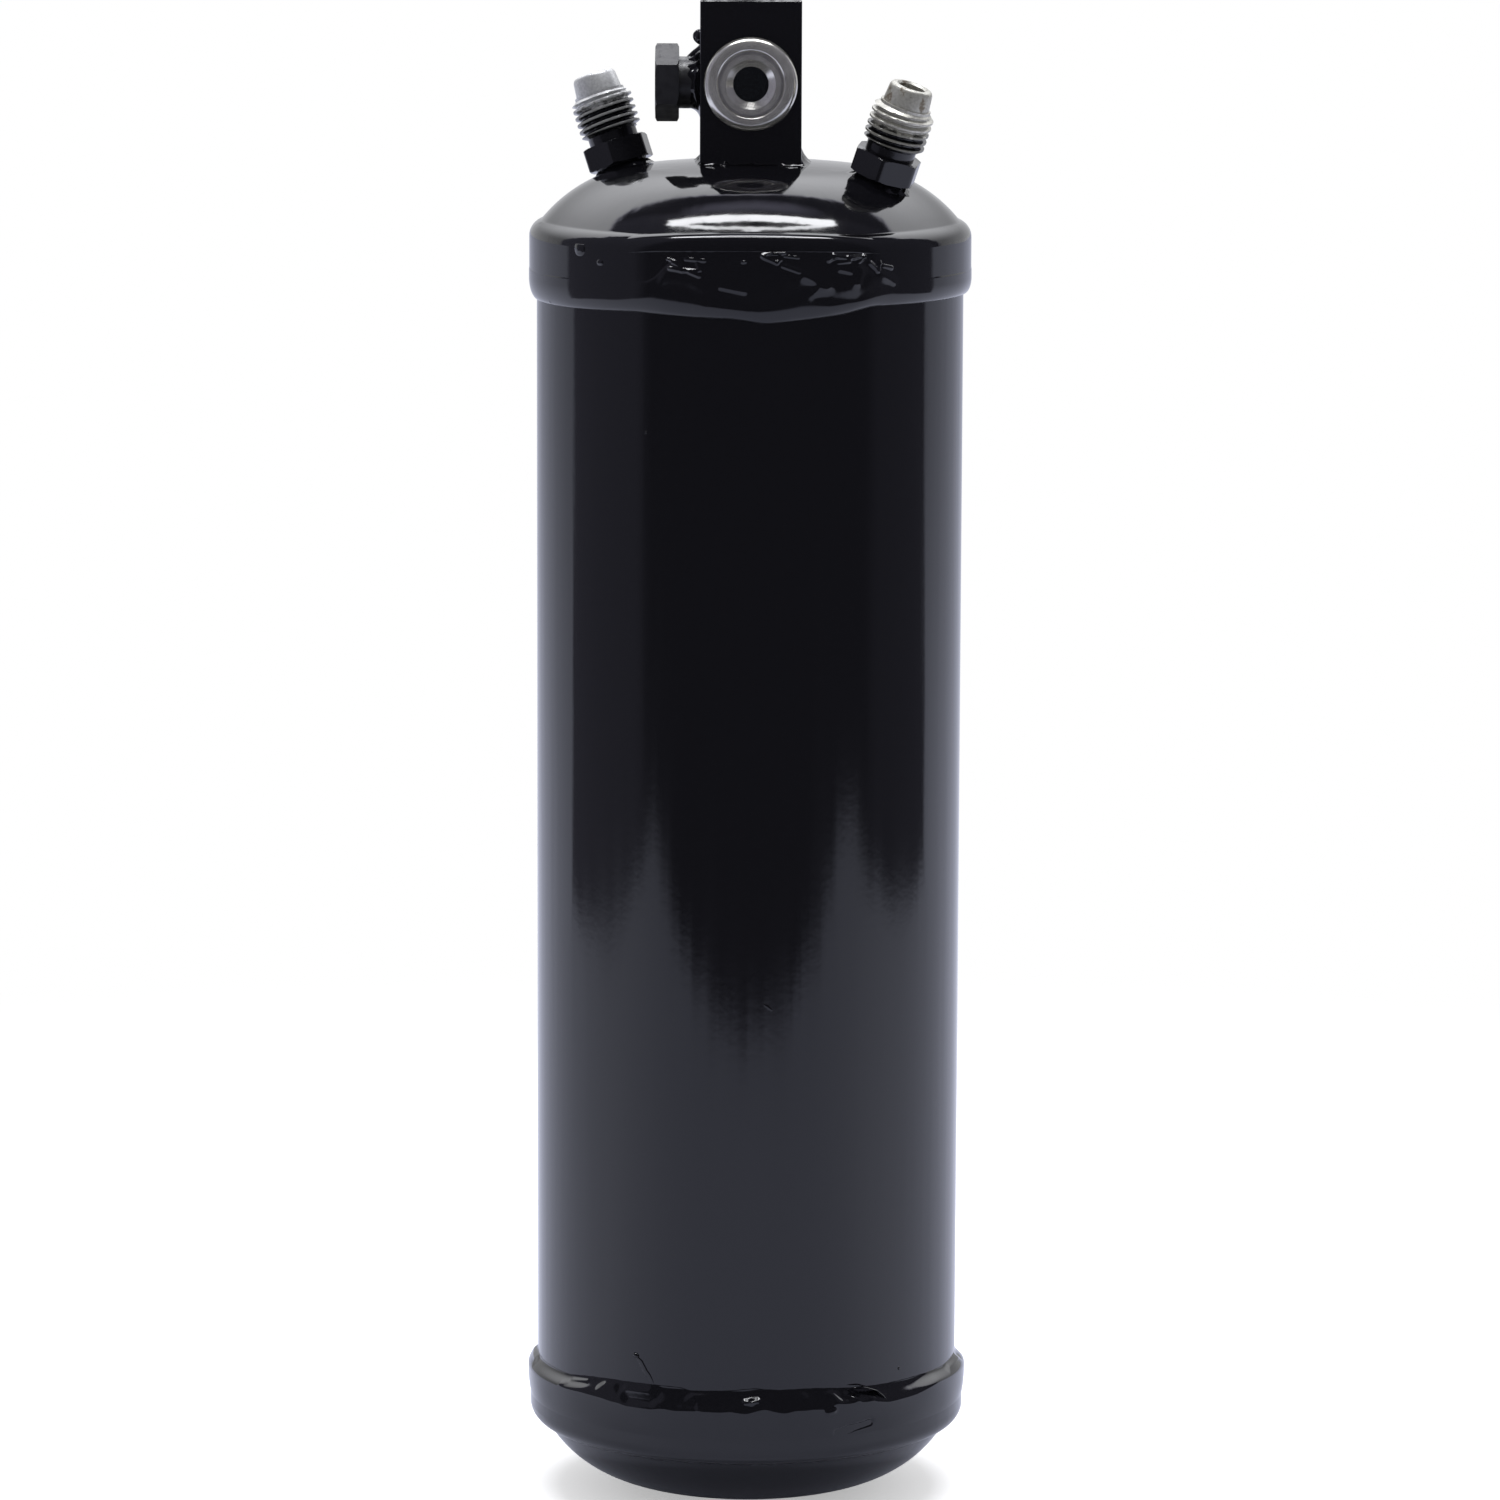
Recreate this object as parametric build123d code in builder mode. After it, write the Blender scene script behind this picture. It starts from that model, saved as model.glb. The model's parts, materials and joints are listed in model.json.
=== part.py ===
from build123d import *
import os
from math import asin, atan, cos, degrees, radians, sin, sqrt

# A welded steel receiver canister for refrigerant, with a desiccant bed inside.
# Millimetres. +Z runs up the canister, +X to its right, -Y is the side of the sight glass.
# The origin is the lowest point of the bottom dome, on the axis.

# Shell: a plain tube closed by two drawn caps that slip over its ends.
tube_od = 76.2
tube_wall = 2.0
tube_length = 212.0
cap_wall = 1.3
cap_slip = 0.05          # between the tube and a cap's skirt, on the radius
cap_step_radius = 3.0    # outside bend where a skirt turns in to its dome
cap_crease_radius = 1.0  # small hollow bend where that step meets the dome
tube_end_gap = 0.1       # between the tube's end and the bend inside a cap

top_crown_radius = 177.5
top_knuckle_radius = 26.2
top_knuckle_inset = 22.5    # distance of the knuckle's centre inside the skirt's outer face
top_step_width = 2.27       # how far the skirt stands out from the dome's foot
top_skirt_length = 6.9      # straight length below the step's bend

bottom_crown_radius = 101.0
bottom_knuckle_radius = 21.3
bottom_knuckle_inset = 21.25
bottom_step_width = 2.81
bottom_skirt_length = 5.0

# Seam welds.
top_bead_drop = 4.0       # how far the top bead runs down the tube
bottom_bead_rise = 4.7    # how far the bottom bead runs up the tube
bottom_bead_lap = 3.1     # how far it laps down over the skirt
bottom_bead_crown = 0.45  # its height over the skirt

# Head block with its two cross ports.
block_width = 18.0
block_height = 28.9
block_edge_radius = 0.4
block_weld_leg = 1.0
weld_root = 0.9           # depth to which a weld's blank dips into the cap before it is trimmed
sight_port_height = 14.0  # axis of the sight glass over the block's foot
relief_port_height = 13.7
chamber_depth = 8.0       # sight chamber, from the front face
riser_flow_bore = 4.6
return_flow_bore = 3.4

# Sight glass.
sight_flange_od = 16.6
sight_flange_height = 2.1
sight_flange_round = 1.5
sight_shank_od = 12.0
sight_shank_length = 4.5
sight_groove_od = 11.66
sight_lip_od = 10.6
sight_lip_height = 1.5
sight_groove_height = 0.9
sight_cone_od = 8.8
sight_window_od = 6.3
sight_window_depth = 0.5
lens_thickness = 3.2
lens_step = 0.6           # the glass is this much wider behind the window
gasket_thickness = 0.5
gasket_od = 15.2
thread_slip = 0.05        # between a screwed shank and its hole, on the radius

# Relief plug, with a core of fusible metal.
relief_hex = 12.0
relief_hex_turn = 30.0    # turns a flat of the hexagon to the front
relief_hex_length = 4.2
relief_neck_od = 9.2
relief_neck_length = 3.8
relief_shank_od = 7.9
relief_shank_length = 4.5
relief_bore = 4.0
relief_weld_leg = 1.95
relief_weld_hollow = 2.2   # radius of its hollow face
hex_chamfer = 0.6

# Flare-nut fittings, set square to the top dome.
fitting_radius = 26.0     # where their axes leave the dome, from the canister's axis
outlet_azimuth = -28.0
fitting_hex = 11.11
fitting_hex_turn = 20.0
fitting_spigot_od = 8.0
fitting_spigot_length = 3.2
fitting_collar_od = 9.2
fitting_collar_height = 0.75
fitting_hex_length = 4.25
fitting_neck_od = 8.9
fitting_neck_length = 1.6
thread_od = 11.11
thread_length = 7.2
thread_lead_in = 0.6
nose_foot_length = 0.5
nose_foot_od = 9.1
nose_od = 8.4
nose_tip_od = 7.7
nose_length = 3.5
nose_round = 0.7
fitting_weld_leg = 0.8
spigot_slip = 0.05

# Tubes inside the canister.
pickup_od = 6.35
pickup_wall = 0.8
pickup_seat = 6.0         # depth of its socket in the head block
pickup_foot = 10.0        # height of its open end over the bottom dome's lowest point
outlet_tube_od = 4.76
outlet_tube_wall = 0.7
outlet_tube_seat = 5.0
outlet_tube_bend = 5.5
outlet_tube_low = 15.0    # how far its lowest run hangs below the block's foot
socket_wall = 1.0         # steel left between the two tube sockets
braze_gap = 0.05          # around a tube in its socket, on the radius

# Bed of desiccant between two felt pads and two perforated plates.
plate_sheet = 0.8
plate_slip = 0.2          # between a plate's rim and the tube, on the radius
upper_plate_depth = 16.0
upper_flange_inset = 0.2  # of the flange's edge inside the tube's outer face
lower_plate_rim = 4.0
pad_thickness = 3.0
bed_slip = 0.15           # around the pads and the bed, on the radius
pass_slip = 0.3           # around the pickup tube where it passes a plate, pad or bed
plate_hole = 4.0
plate_ring_pitch = 9.0
plate_rings = 3
plate_ring_holes = 6      # holes in the first ring, and how many each further ring adds

# Spring under the lower plate, and the strainer on the pickup tube.
spring_wire = 2.5
spring_od = 42.0
spring_turns = 3.0
spring_pitch = 5.0
seat_gap = 0.05
strainer_od = 12.0
strainer_wall = 0.8
strainer_length = 13.0
strainer_lap = 6.0        # how much of it grips the pickup tube
strainer_slots = 8
strainer_slot_width = 1.6


def knuckle_height(crown, knuckle, offset_from_axis):
    # Height of the knuckle's centre over the dome's apex, measured into the cap.
    return crown - sqrt((crown - knuckle) ** 2 - offset_from_axis**2)


def dome_drop(crown, knuckle, offset_from_axis, radius):
    # Drop from the apex to a point of the knuckle at this radius.
    rise = sqrt(knuckle**2 - (radius - offset_from_axis) ** 2)
    return knuckle_height(crown, knuckle, offset_from_axis) - rise


# Worked-out sizes.
tube_radius = tube_od / 2
tube_bore = tube_radius - tube_wall
skirt_radius = tube_radius + cap_slip + cap_wall
top_knuckle_offset = skirt_radius - top_knuckle_inset
bottom_knuckle_offset = skirt_radius - bottom_knuckle_inset
top_dome_height = dome_drop(top_crown_radius, top_knuckle_radius, top_knuckle_offset,
                            skirt_radius - top_step_width)
bottom_dome_height = dome_drop(bottom_crown_radius, bottom_knuckle_radius, bottom_knuckle_offset,
                               skirt_radius - bottom_step_width)
bottom_step_centre = bottom_dome_height + cap_step_radius
tube_foot = bottom_step_centre + tube_end_gap
tube_top = tube_foot + tube_length
top_step_centre = tube_top + plate_sheet + tube_end_gap
apex = top_step_centre + cap_step_radius + top_dome_height
half_block = block_width / 2
bottom_skirt_edge = bottom_step_centre + bottom_skirt_length
top_skirt_edge = top_step_centre - top_skirt_length

# Where a fitting leaves the top dome: the drop below the apex, and the lean of the dome's normal.
fitting_drop = dome_drop(top_crown_radius, top_knuckle_radius, top_knuckle_offset, fitting_radius)
fitting_lean = asin((fitting_radius - top_knuckle_offset) / top_knuckle_radius)


def fitting_plane(azimuth):
    # Lies on the dome's outside, with its normal along the fitting.
    turn = radians(azimuth)
    foot = (fitting_radius * cos(turn), fitting_radius * sin(turn), apex - fitting_drop)
    lean = (sin(fitting_lean) * cos(turn), sin(fitting_lean) * sin(turn), cos(fitting_lean))
    return Plane(origin=foot, x_dir=(1, 0, 0), z_dir=lean)


def section_of(plane):
    # The plane through the same origin that holds the axis: its own Y runs along the axis.
    return Plane(origin=plane.origin, x_dir=plane.x_dir, z_dir=-plane.y_dir)


def axis_of(plane):
    return Axis(plane.origin, plane.z_dir)


outlet_plane = fitting_plane(outlet_azimuth)
inlet_plane = fitting_plane(outlet_azimuth + 180)
sight_plane = Plane(origin=(0, -half_block, apex + sight_port_height), x_dir=(1, 0, 0), z_dir=(0, -1, 0))
relief_plane = Plane(origin=(-half_block, 0, apex + relief_port_height), x_dir=(0, 1, 0), z_dir=(-1, 0, 0))

# The return socket stands beside the riser, on the side of the outlet fitting.
return_offset = pickup_od / 2 + outlet_tube_od / 2 + 2 * braze_gap + socket_wall
return_turn = radians(outlet_azimuth)
return_place = (return_offset * cos(return_turn), return_offset * sin(return_turn))


def cap_blank(crown, knuckle, offset_from_axis, dome_height, skirt_length):
    # Half section of a closed cap, apex at the origin, its inside towards +Y.
    centre_height = knuckle_height(crown, knuckle, offset_from_axis)
    step_centre = dome_height + cap_step_radius
    end = step_centre + skirt_length
    lean = degrees(asin(offset_from_axis / (crown - knuckle)))
    knuckle_sweep = 90 - lean - degrees(asin((centre_height - step_centre) / knuckle))
    with BuildSketch() as blank:
        with BuildLine():
            Polyline((0, dome_height), (skirt_radius, dome_height), (skirt_radius, end), (0, end), close=True)
        make_face()
        step_corner = blank.vertices().sort_by_distance((skirt_radius, dome_height))[0]
        fillet(step_corner, radius=cap_step_radius)
        with BuildLine():
            crown_arc = CenterArc((0, crown), crown, -90, lean)
            knuckle_arc = CenterArc((offset_from_axis, centre_height), knuckle, lean - 90, knuckle_sweep)
            Polyline(knuckle_arc @ 1, (0, step_centre), crown_arc @ 0)
        make_face()
        crease = blank.vertices().sort_by_distance((skirt_radius - cap_step_radius, dome_height))[0]
        fillet(crease, radius=cap_crease_radius)
    return blank.sketch


# Shell tube.
with BuildPart() as shell_tube:
    with BuildSketch(Plane.XY.offset(tube_foot)):
        Circle(tube_radius)
        Circle(tube_bore, mode=Mode.SUBTRACT)
    extrude(amount=tube_length)

# Bottom cap, drawn from one sheet.
bottom_blank = cap_blank(bottom_crown_radius, bottom_knuckle_radius, bottom_knuckle_offset,
                         bottom_dome_height, bottom_skirt_length)
with BuildPart() as bottom_cap:
    with BuildSketch(Plane.XZ):
        add(bottom_blank)
    revolve(axis=Axis.Z)
    offset(amount=-cap_wall, openings=bottom_cap.faces().sort_by(Axis.Z)[-1])

# Top cap: its dome is drilled for the two fittings and for the two tubes under the head block.
top_blank = cap_blank(top_crown_radius, top_knuckle_radius, top_knuckle_offset,
                      top_dome_height, top_skirt_length)
with BuildPart() as top_cap:
    with BuildSketch(Plane(origin=(0, 0, apex), x_dir=(1, 0, 0), z_dir=(0, 1, 0))):
        add(top_blank)
    revolve(axis=Axis.Z)
    offset(amount=-cap_wall, openings=top_cap.faces().sort_by(Axis.Z)[0])
    with Locations(inlet_plane.offset(cap_wall), outlet_plane.offset(cap_wall)):
        Hole(radius=fitting_spigot_od / 2 + spigot_slip, depth=3 * cap_wall)
    with Locations((0, 0, apex + cap_wall)):
        Hole(radius=pickup_od / 2 + braze_gap, depth=3 * cap_wall)
    with Locations((*return_place, apex + cap_wall)):
        Hole(radius=outlet_tube_od / 2 + braze_gap, depth=3 * cap_wall)

# Top seam weld: it fills the corner under the skirt's edge and runs out on the tube.
with BuildPart() as top_weld_bead:
    with BuildSketch(Plane.XZ):
        with BuildLine():
            root = Polyline((tube_radius, top_skirt_edge - top_bead_drop), (tube_radius, top_skirt_edge),
                            (skirt_radius, top_skirt_edge))
            Bezier(root @ 1, (skirt_radius, top_skirt_edge - 0.75 * top_bead_drop),
                   (tube_radius + 0.6 * cap_wall, top_skirt_edge - top_bead_drop), root @ 0)
        make_face()
    revolve(axis=Axis.Z)

# Bottom seam weld: a raised cap of weld metal over the skirt's edge.
bead_crown_radius = skirt_radius + bottom_bead_crown
bead_head = bottom_skirt_edge + bottom_bead_rise
bead_tail = bottom_skirt_edge - bottom_bead_lap
with BuildPart() as bottom_weld_bead:
    with BuildSketch(Plane.XZ):
        with BuildLine():
            root = Polyline((tube_radius, bead_head), (tube_radius, bottom_skirt_edge),
                            (skirt_radius, bottom_skirt_edge), (skirt_radius, bead_tail))
            Bezier(root @ 1, (bead_crown_radius + 0.2 * cap_wall, bead_tail + 0.3 * bottom_bead_lap),
                   (bead_crown_radius, bead_head), root @ 0)
        make_face()
    revolve(axis=Axis.Z)

# Head block: square bar with a sight chamber, a relief port and the two tube sockets.
with BuildPart() as head_block:
    with BuildSketch(Plane.XY.offset(apex)):
        RectangleRounded(block_width, block_width, block_edge_radius)
    extrude(amount=block_height)
    chamfer(head_block.faces().sort_by(Axis.Z)[-1].edges(), length=block_edge_radius)
    with BuildSketch(sight_plane):
        Circle(sight_shank_od / 2 + thread_slip)
    extrude(amount=-chamber_depth, mode=Mode.SUBTRACT)
    with BuildSketch(relief_plane):
        Circle(relief_shank_od / 2 + thread_slip)
    extrude(amount=-relief_shank_length, mode=Mode.SUBTRACT)
    with BuildSketch(relief_plane):
        Circle(relief_bore / 2)
    extrude(amount=-half_block, mode=Mode.SUBTRACT)
    with BuildSketch(Plane.XY.offset(apex)):
        Circle(pickup_od / 2 + braze_gap)
    extrude(amount=pickup_seat, mode=Mode.SUBTRACT)
    with BuildSketch(Plane.XY.offset(apex)):
        Circle(riser_flow_bore / 2)
    extrude(amount=sight_port_height, mode=Mode.SUBTRACT)
    with BuildSketch(Plane.XY.offset(apex)):
        with Locations(return_place):
            Circle(outlet_tube_od / 2 + braze_gap)
    extrude(amount=outlet_tube_seat, mode=Mode.SUBTRACT)
    with BuildSketch(Plane.XY.offset(apex)):
        with Locations(return_place):
            Circle(return_flow_bore / 2)
    extrude(amount=sight_port_height, mode=Mode.SUBTRACT)

# Fillet weld round the block's foot, trimmed to the dome it lies on.
with BuildPart() as head_block_weld:
    with BuildSketch(Plane.XY.offset(apex - weld_root)):
        foot_width = block_width + 2 * block_weld_leg
        RectangleRounded(foot_width, foot_width, block_weld_leg + block_edge_radius)
    extrude(amount=block_weld_leg + weld_root, taper=degrees(atan(block_weld_leg / (block_weld_leg + weld_root))))
    with BuildSketch(Plane.XY.offset(apex - weld_root)):
        RectangleRounded(block_width, block_width, block_edge_radius)
    extrude(amount=block_weld_leg + weld_root, mode=Mode.SUBTRACT)
    add(top_cap.part, mode=Mode.SUBTRACT)


def hex_band(plane, across_flats, start, length, turn):
    # A length of hexagon bar with both ends turned down at the corners.
    reach = across_flats / sqrt(3)
    end = start + length
    with BuildPart() as band:
        with BuildSketch(plane.offset(start)):
            RegularPolygon(across_flats / 2, 6, major_radius=False, rotation=turn)
        extrude(amount=length)
        with BuildSketch(section_of(plane)):
            with BuildLine():
                Polyline((0, start), (reach - hex_chamfer, start), (reach, start + hex_chamfer / 2),
                         (reach, end - hex_chamfer / 2), (reach - hex_chamfer, end), (0, end), close=True)
            make_face()
        revolve(axis=axis_of(plane), mode=Mode.INTERSECT)
    return band.part


def flare_fitting(plane):
    # Spigot, collar, hexagon, relief neck, thread and smooth nose, all turned from one bar.
    hex_start = fitting_collar_height
    neck_start = hex_start + fitting_hex_length
    thread_start = neck_start + fitting_neck_length
    thread_end = thread_start + thread_length
    nose_start = thread_end + nose_foot_length
    tip = nose_start + nose_length
    band = hex_band(plane, fitting_hex, hex_start, fitting_hex_length, fitting_hex_turn)
    with BuildPart() as fitting:
        add(band)
        with BuildSketch(section_of(plane)) as profile:
            with BuildLine():
                Polyline((0, -fitting_spigot_length), (fitting_spigot_od / 2, -fitting_spigot_length),
                         (fitting_spigot_od / 2, 0), (fitting_collar_od / 2, 0),
                         (fitting_collar_od / 2, hex_start), (fitting_neck_od / 2, neck_start),
                         (fitting_neck_od / 2, thread_start),
                         (thread_od / 2, thread_start + thread_lead_in),
                         (thread_od / 2, thread_end - thread_lead_in), (nose_foot_od / 2, thread_end),
                         (nose_foot_od / 2, nose_start), (nose_od / 2, nose_start),
                         (nose_tip_od / 2, tip), (0, tip), close=True)
            make_face()
            fillet(profile.vertices().sort_by_distance((nose_tip_od / 2, tip))[0], radius=nose_round)
        revolve(axis=axis_of(plane))
        with BuildSketch(plane.offset(tip)):
            Circle(outlet_tube_od / 2 + braze_gap)
        extrude(amount=-(tip + fitting_spigot_length), mode=Mode.SUBTRACT)
    return fitting


def fitting_weld(plane, fitting):
    # Braze fillet between the collar and the dome.
    with BuildPart() as ring:
        with BuildSketch(section_of(plane)):
            with BuildLine():
                Polyline((fitting_spigot_od / 2, -weld_root),
                         (fitting_collar_od / 2 + fitting_weld_leg, -weld_root),
                         (fitting_collar_od / 2 + fitting_weld_leg, -weld_root / 3),
                         (fitting_collar_od / 2, fitting_collar_height - seat_gap),
                         (fitting_spigot_od / 2, 0), close=True)
            make_face()
        revolve(axis=axis_of(plane))
        add(top_cap.part, mode=Mode.SUBTRACT)
        add(fitting.part, mode=Mode.SUBTRACT)
    return ring


inlet_fitting = flare_fitting(inlet_plane)
outlet_fitting = flare_fitting(outlet_plane)
inlet_fitting_weld = fitting_weld(inlet_plane, inlet_fitting)
outlet_fitting_weld = fitting_weld(outlet_plane, outlet_fitting)

# Sight glass body: rolled flange, groove, raised lip and a cone down to the window.
window_floor = sight_window_depth
lens_radius = sight_window_od / 2 + lens_step
with BuildPart() as sight_glass_body:
    with BuildSketch(section_of(sight_plane)) as profile:
        with BuildLine():
            Polyline((lens_radius, -sight_shank_length), (sight_shank_od / 2, -sight_shank_length),
                     (sight_shank_od / 2, gasket_thickness), (sight_flange_od / 2, gasket_thickness),
                     (sight_flange_od / 2, sight_flange_height), (sight_groove_od / 2, sight_flange_height),
                     (sight_groove_od / 2, sight_groove_height), (sight_lip_od / 2, sight_groove_height),
                     (sight_lip_od / 2, sight_lip_height), (sight_cone_od / 2, sight_lip_height),
                     (sight_window_od / 2, window_floor), (sight_window_od / 2, 0),
                     (lens_radius, 0), close=True)
        make_face()
        fillet(profile.vertices().sort_by_distance((sight_flange_od / 2, sight_flange_height))[0],
               radius=sight_flange_round)
        fillet(profile.vertices().sort_by_distance((sight_groove_od / 2, sight_flange_height))[0],
               radius=sight_flange_round / 3)
    revolve(axis=axis_of(sight_plane))

# Lens fused behind the window, with a low step that fills the opening.
with BuildPart() as sight_glass_lens:
    with BuildSketch(section_of(sight_plane)):
        with BuildLine():
            Polyline((0, -lens_thickness), (lens_radius, -lens_thickness), (lens_radius, 0),
                     (sight_window_od / 2, 0), (sight_window_od / 2, window_floor / 2),
                     (0, window_floor / 2), close=True)
        make_face()
    revolve(axis=axis_of(sight_plane))

# Flat gasket under the flange.
with BuildPart() as sight_glass_gasket:
    with BuildSketch(sight_plane):
        Circle(gasket_od / 2)
        Circle(sight_shank_od / 2 + thread_slip, mode=Mode.SUBTRACT)
    extrude(amount=gasket_thickness)

# Relief plug on the left face: hexagon, neck and screwed shank, bored for its fusible core.
relief_band = hex_band(relief_plane, relief_hex, relief_neck_length, relief_hex_length, relief_hex_turn)
with BuildPart() as relief_plug:
    add(relief_band)
    with BuildSketch(relief_plane):
        Circle(relief_neck_od / 2)
    extrude(amount=relief_neck_length)
    with BuildSketch(relief_plane):
        Circle(relief_shank_od / 2)
    extrude(amount=-relief_shank_length)
    relief_end = relief_neck_length + relief_hex_length
    with BuildSketch(relief_plane.offset(relief_end)):
        Circle(relief_bore / 2)
    extrude(amount=-(relief_end + relief_shank_length), mode=Mode.SUBTRACT)

with BuildPart() as fusible_core:
    with BuildSketch(relief_plane.offset(-relief_shank_length)):
        Circle(relief_bore / 2)
    extrude(amount=relief_end + relief_shank_length - hex_chamfer)

# Hollow-faced weld round the neck's foot.
with BuildPart() as relief_plug_weld:
    with BuildSketch(section_of(relief_plane)):
        with BuildLine():
            neck_radius = relief_neck_od / 2
            weld_reach = neck_radius + relief_weld_leg
            corner = Polyline((weld_reach, 0), (neck_radius, 0), (neck_radius, relief_weld_leg))
            RadiusArc(corner @ 1, corner @ 0, -relief_weld_hollow)
        make_face()
    revolve(axis=axis_of(relief_plane))

# Pickup tube, from the sump up into the head block.
with BuildPart() as pickup_tube:
    with BuildSketch(Plane.XY.offset(pickup_foot)):
        Circle(pickup_od / 2)
        Circle(pickup_od / 2 - pickup_wall, mode=Mode.SUBTRACT)
    extrude(amount=apex + pickup_seat - pickup_foot)

# Return tube: down from the block, across and up into the outlet fitting.
run_height = -outlet_tube_low
run_slide = (outlet_tube_low - fitting_drop) / cos(fitting_lean)
return_section = Plane(origin=(0, 0, apex), x_dir=(cos(return_turn), sin(return_turn), 0),
                       z_dir=(sin(return_turn), -cos(return_turn), 0))
with BuildPart() as outlet_tube:
    with BuildLine(return_section) as path:
        FilletPolyline((return_offset, outlet_tube_seat), (return_offset, run_height),
                       (fitting_radius - run_slide * sin(fitting_lean), run_height),
                       (fitting_radius, -fitting_drop), radius=outlet_tube_bend)
    with BuildSketch(Plane(origin=path.line @ 0, z_dir=path.line % 0)):
        Circle(outlet_tube_od / 2)
        Circle(outlet_tube_od / 2 - outlet_tube_wall, mode=Mode.SUBTRACT)
    sweep()

# Strainer cup on the foot of the pickup tube.
strainer_top = pickup_foot + strainer_lap
strainer_foot = strainer_top - strainer_length
with BuildPart() as pickup_strainer:
    with BuildSketch(Plane.XY.offset(strainer_foot)):
        Circle(strainer_od / 2)
    extrude(amount=strainer_length)
    with BuildSketch(Plane.XY.offset(strainer_foot + strainer_wall)):
        Circle(strainer_od / 2 - strainer_wall)
    extrude(amount=pickup_foot - strainer_foot - 2 * strainer_wall, mode=Mode.SUBTRACT)
    with BuildSketch(Plane.XY.offset(pickup_foot)):
        Circle(pickup_od / 2 + braze_gap)
    extrude(amount=strainer_lap, mode=Mode.SUBTRACT)
    with BuildSketch(Plane.XY.offset(pickup_foot - strainer_wall)):
        Circle(pickup_od / 2 - pickup_wall)
    extrude(amount=strainer_wall, mode=Mode.SUBTRACT)
    slot_height = pickup_foot - strainer_foot - 4 * strainer_wall
    with BuildSketch(Plane.XY.offset(strainer_foot + 2 * strainer_wall)):
        with PolarLocations(strainer_od / 2 - strainer_wall / 2, strainer_slots):
            Rectangle(3 * strainer_wall, strainer_slot_width)
    extrude(amount=slot_height, mode=Mode.SUBTRACT)

# Coil spring that stands in the bottom dome and pushes the lower plate up.
spring_mean_radius = (spring_od - spring_wire) / 2
dome_inside = bottom_crown_radius - cap_wall
spring_foot = bottom_crown_radius - sqrt((dome_inside - spring_wire / 2 - seat_gap) ** 2 - spring_mean_radius**2)
spring_height = spring_turns * spring_pitch
with BuildPart() as bed_spring:
    with BuildLine(Plane.XY.offset(spring_foot)) as coil:
        Helix(pitch=spring_pitch, height=spring_height, radius=spring_mean_radius)
    with BuildSketch(Plane(origin=coil.line @ 0, z_dir=coil.line % 0)):
        Circle(spring_wire / 2)
    sweep(is_frenet=True)

# Levels of the stack, from the spring up and from the upper plate down.
lower_plate_foot = spring_foot + spring_height + spring_wire / 2 + seat_gap
lower_pad_foot = lower_plate_foot + plate_sheet
bed_foot = lower_pad_foot + pad_thickness
upper_plate_floor = tube_top + plate_sheet - upper_plate_depth
upper_pad_foot = upper_plate_floor - pad_thickness
pass_radius = pickup_od / 2 + pass_slip
plate_radius = tube_bore - plate_slip


def plate_holes(foot):
    # Rings of holes round the pickup tube, each ring with more holes than the last.
    with BuildSketch(Plane.XY.offset(foot)) as holes:
        Circle(pass_radius)
        for ring in range(1, plate_rings + 1):
            with PolarLocations(ring * plate_ring_pitch, ring * plate_ring_holes):
                Circle(plate_hole / 2)
    return holes.sketch


# Lower plate: a perforated disc with a turned-down rim.
lower_plate_holes = plate_holes(lower_plate_foot)
with BuildPart() as lower_plate:
    with BuildSketch(Plane.XY.offset(lower_pad_foot)):
        Circle(plate_radius)
    extrude(amount=-lower_plate_rim)
    with BuildSketch(Plane.XY.offset(lower_plate_foot)):
        Circle(plate_radius - plate_sheet)
    extrude(amount=-lower_plate_rim, mode=Mode.SUBTRACT)
    add(lower_plate_holes)
    extrude(amount=plate_sheet, mode=Mode.SUBTRACT)

# Upper plate: a perforated cup that hangs by its flange on the end of the tube.
upper_plate_holes = plate_holes(upper_plate_floor)
with BuildPart() as upper_plate:
    with BuildSketch(Plane.XY.offset(upper_plate_floor)):
        Circle(plate_radius)
    extrude(amount=upper_plate_depth)
    with BuildSketch(Plane.XY.offset(tube_top)):
        Circle(tube_radius - upper_flange_inset)
    extrude(amount=plate_sheet)
    with BuildSketch(Plane.XY.offset(upper_plate_floor + plate_sheet)):
        Circle(plate_radius - plate_sheet)
    extrude(amount=upper_plate_depth, mode=Mode.SUBTRACT)
    add(upper_plate_holes)
    extrude(amount=plate_sheet, mode=Mode.SUBTRACT)


def packed_ring(foot, height):
    # A full-bore ring of soft or loose filling round the pickup tube.
    with BuildPart() as ring:
        with BuildSketch(Plane.XY.offset(foot)):
            Circle(tube_bore - bed_slip)
            Circle(pass_radius, mode=Mode.SUBTRACT)
        extrude(amount=height)
    return ring


lower_pad = packed_ring(lower_pad_foot, pad_thickness)
desiccant_bed = packed_ring(bed_foot, upper_pad_foot - bed_foot)
upper_pad = packed_ring(upper_pad_foot, pad_thickness)

pieces = {
    "shell_tube": shell_tube,
    "bottom_cap": bottom_cap,
    "top_cap": top_cap,
    "top_weld_bead": top_weld_bead,
    "bottom_weld_bead": bottom_weld_bead,
    "head_block": head_block,
    "head_block_weld": head_block_weld,
    "inlet_fitting": inlet_fitting,
    "outlet_fitting": outlet_fitting,
    "inlet_fitting_weld": inlet_fitting_weld,
    "outlet_fitting_weld": outlet_fitting_weld,
    "sight_glass_body": sight_glass_body,
    "sight_glass_lens": sight_glass_lens,
    "sight_glass_gasket": sight_glass_gasket,
    "relief_plug": relief_plug,
    "fusible_core": fusible_core,
    "relief_plug_weld": relief_plug_weld,
    "pickup_tube": pickup_tube,
    "outlet_tube": outlet_tube,
    "pickup_strainer": pickup_strainer,
    "bed_spring": bed_spring,
    "lower_plate": lower_plate,
    "upper_plate": upper_plate,
    "lower_pad": lower_pad,
    "desiccant_bed": desiccant_bed,
    "upper_pad": upper_pad,
}

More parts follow.
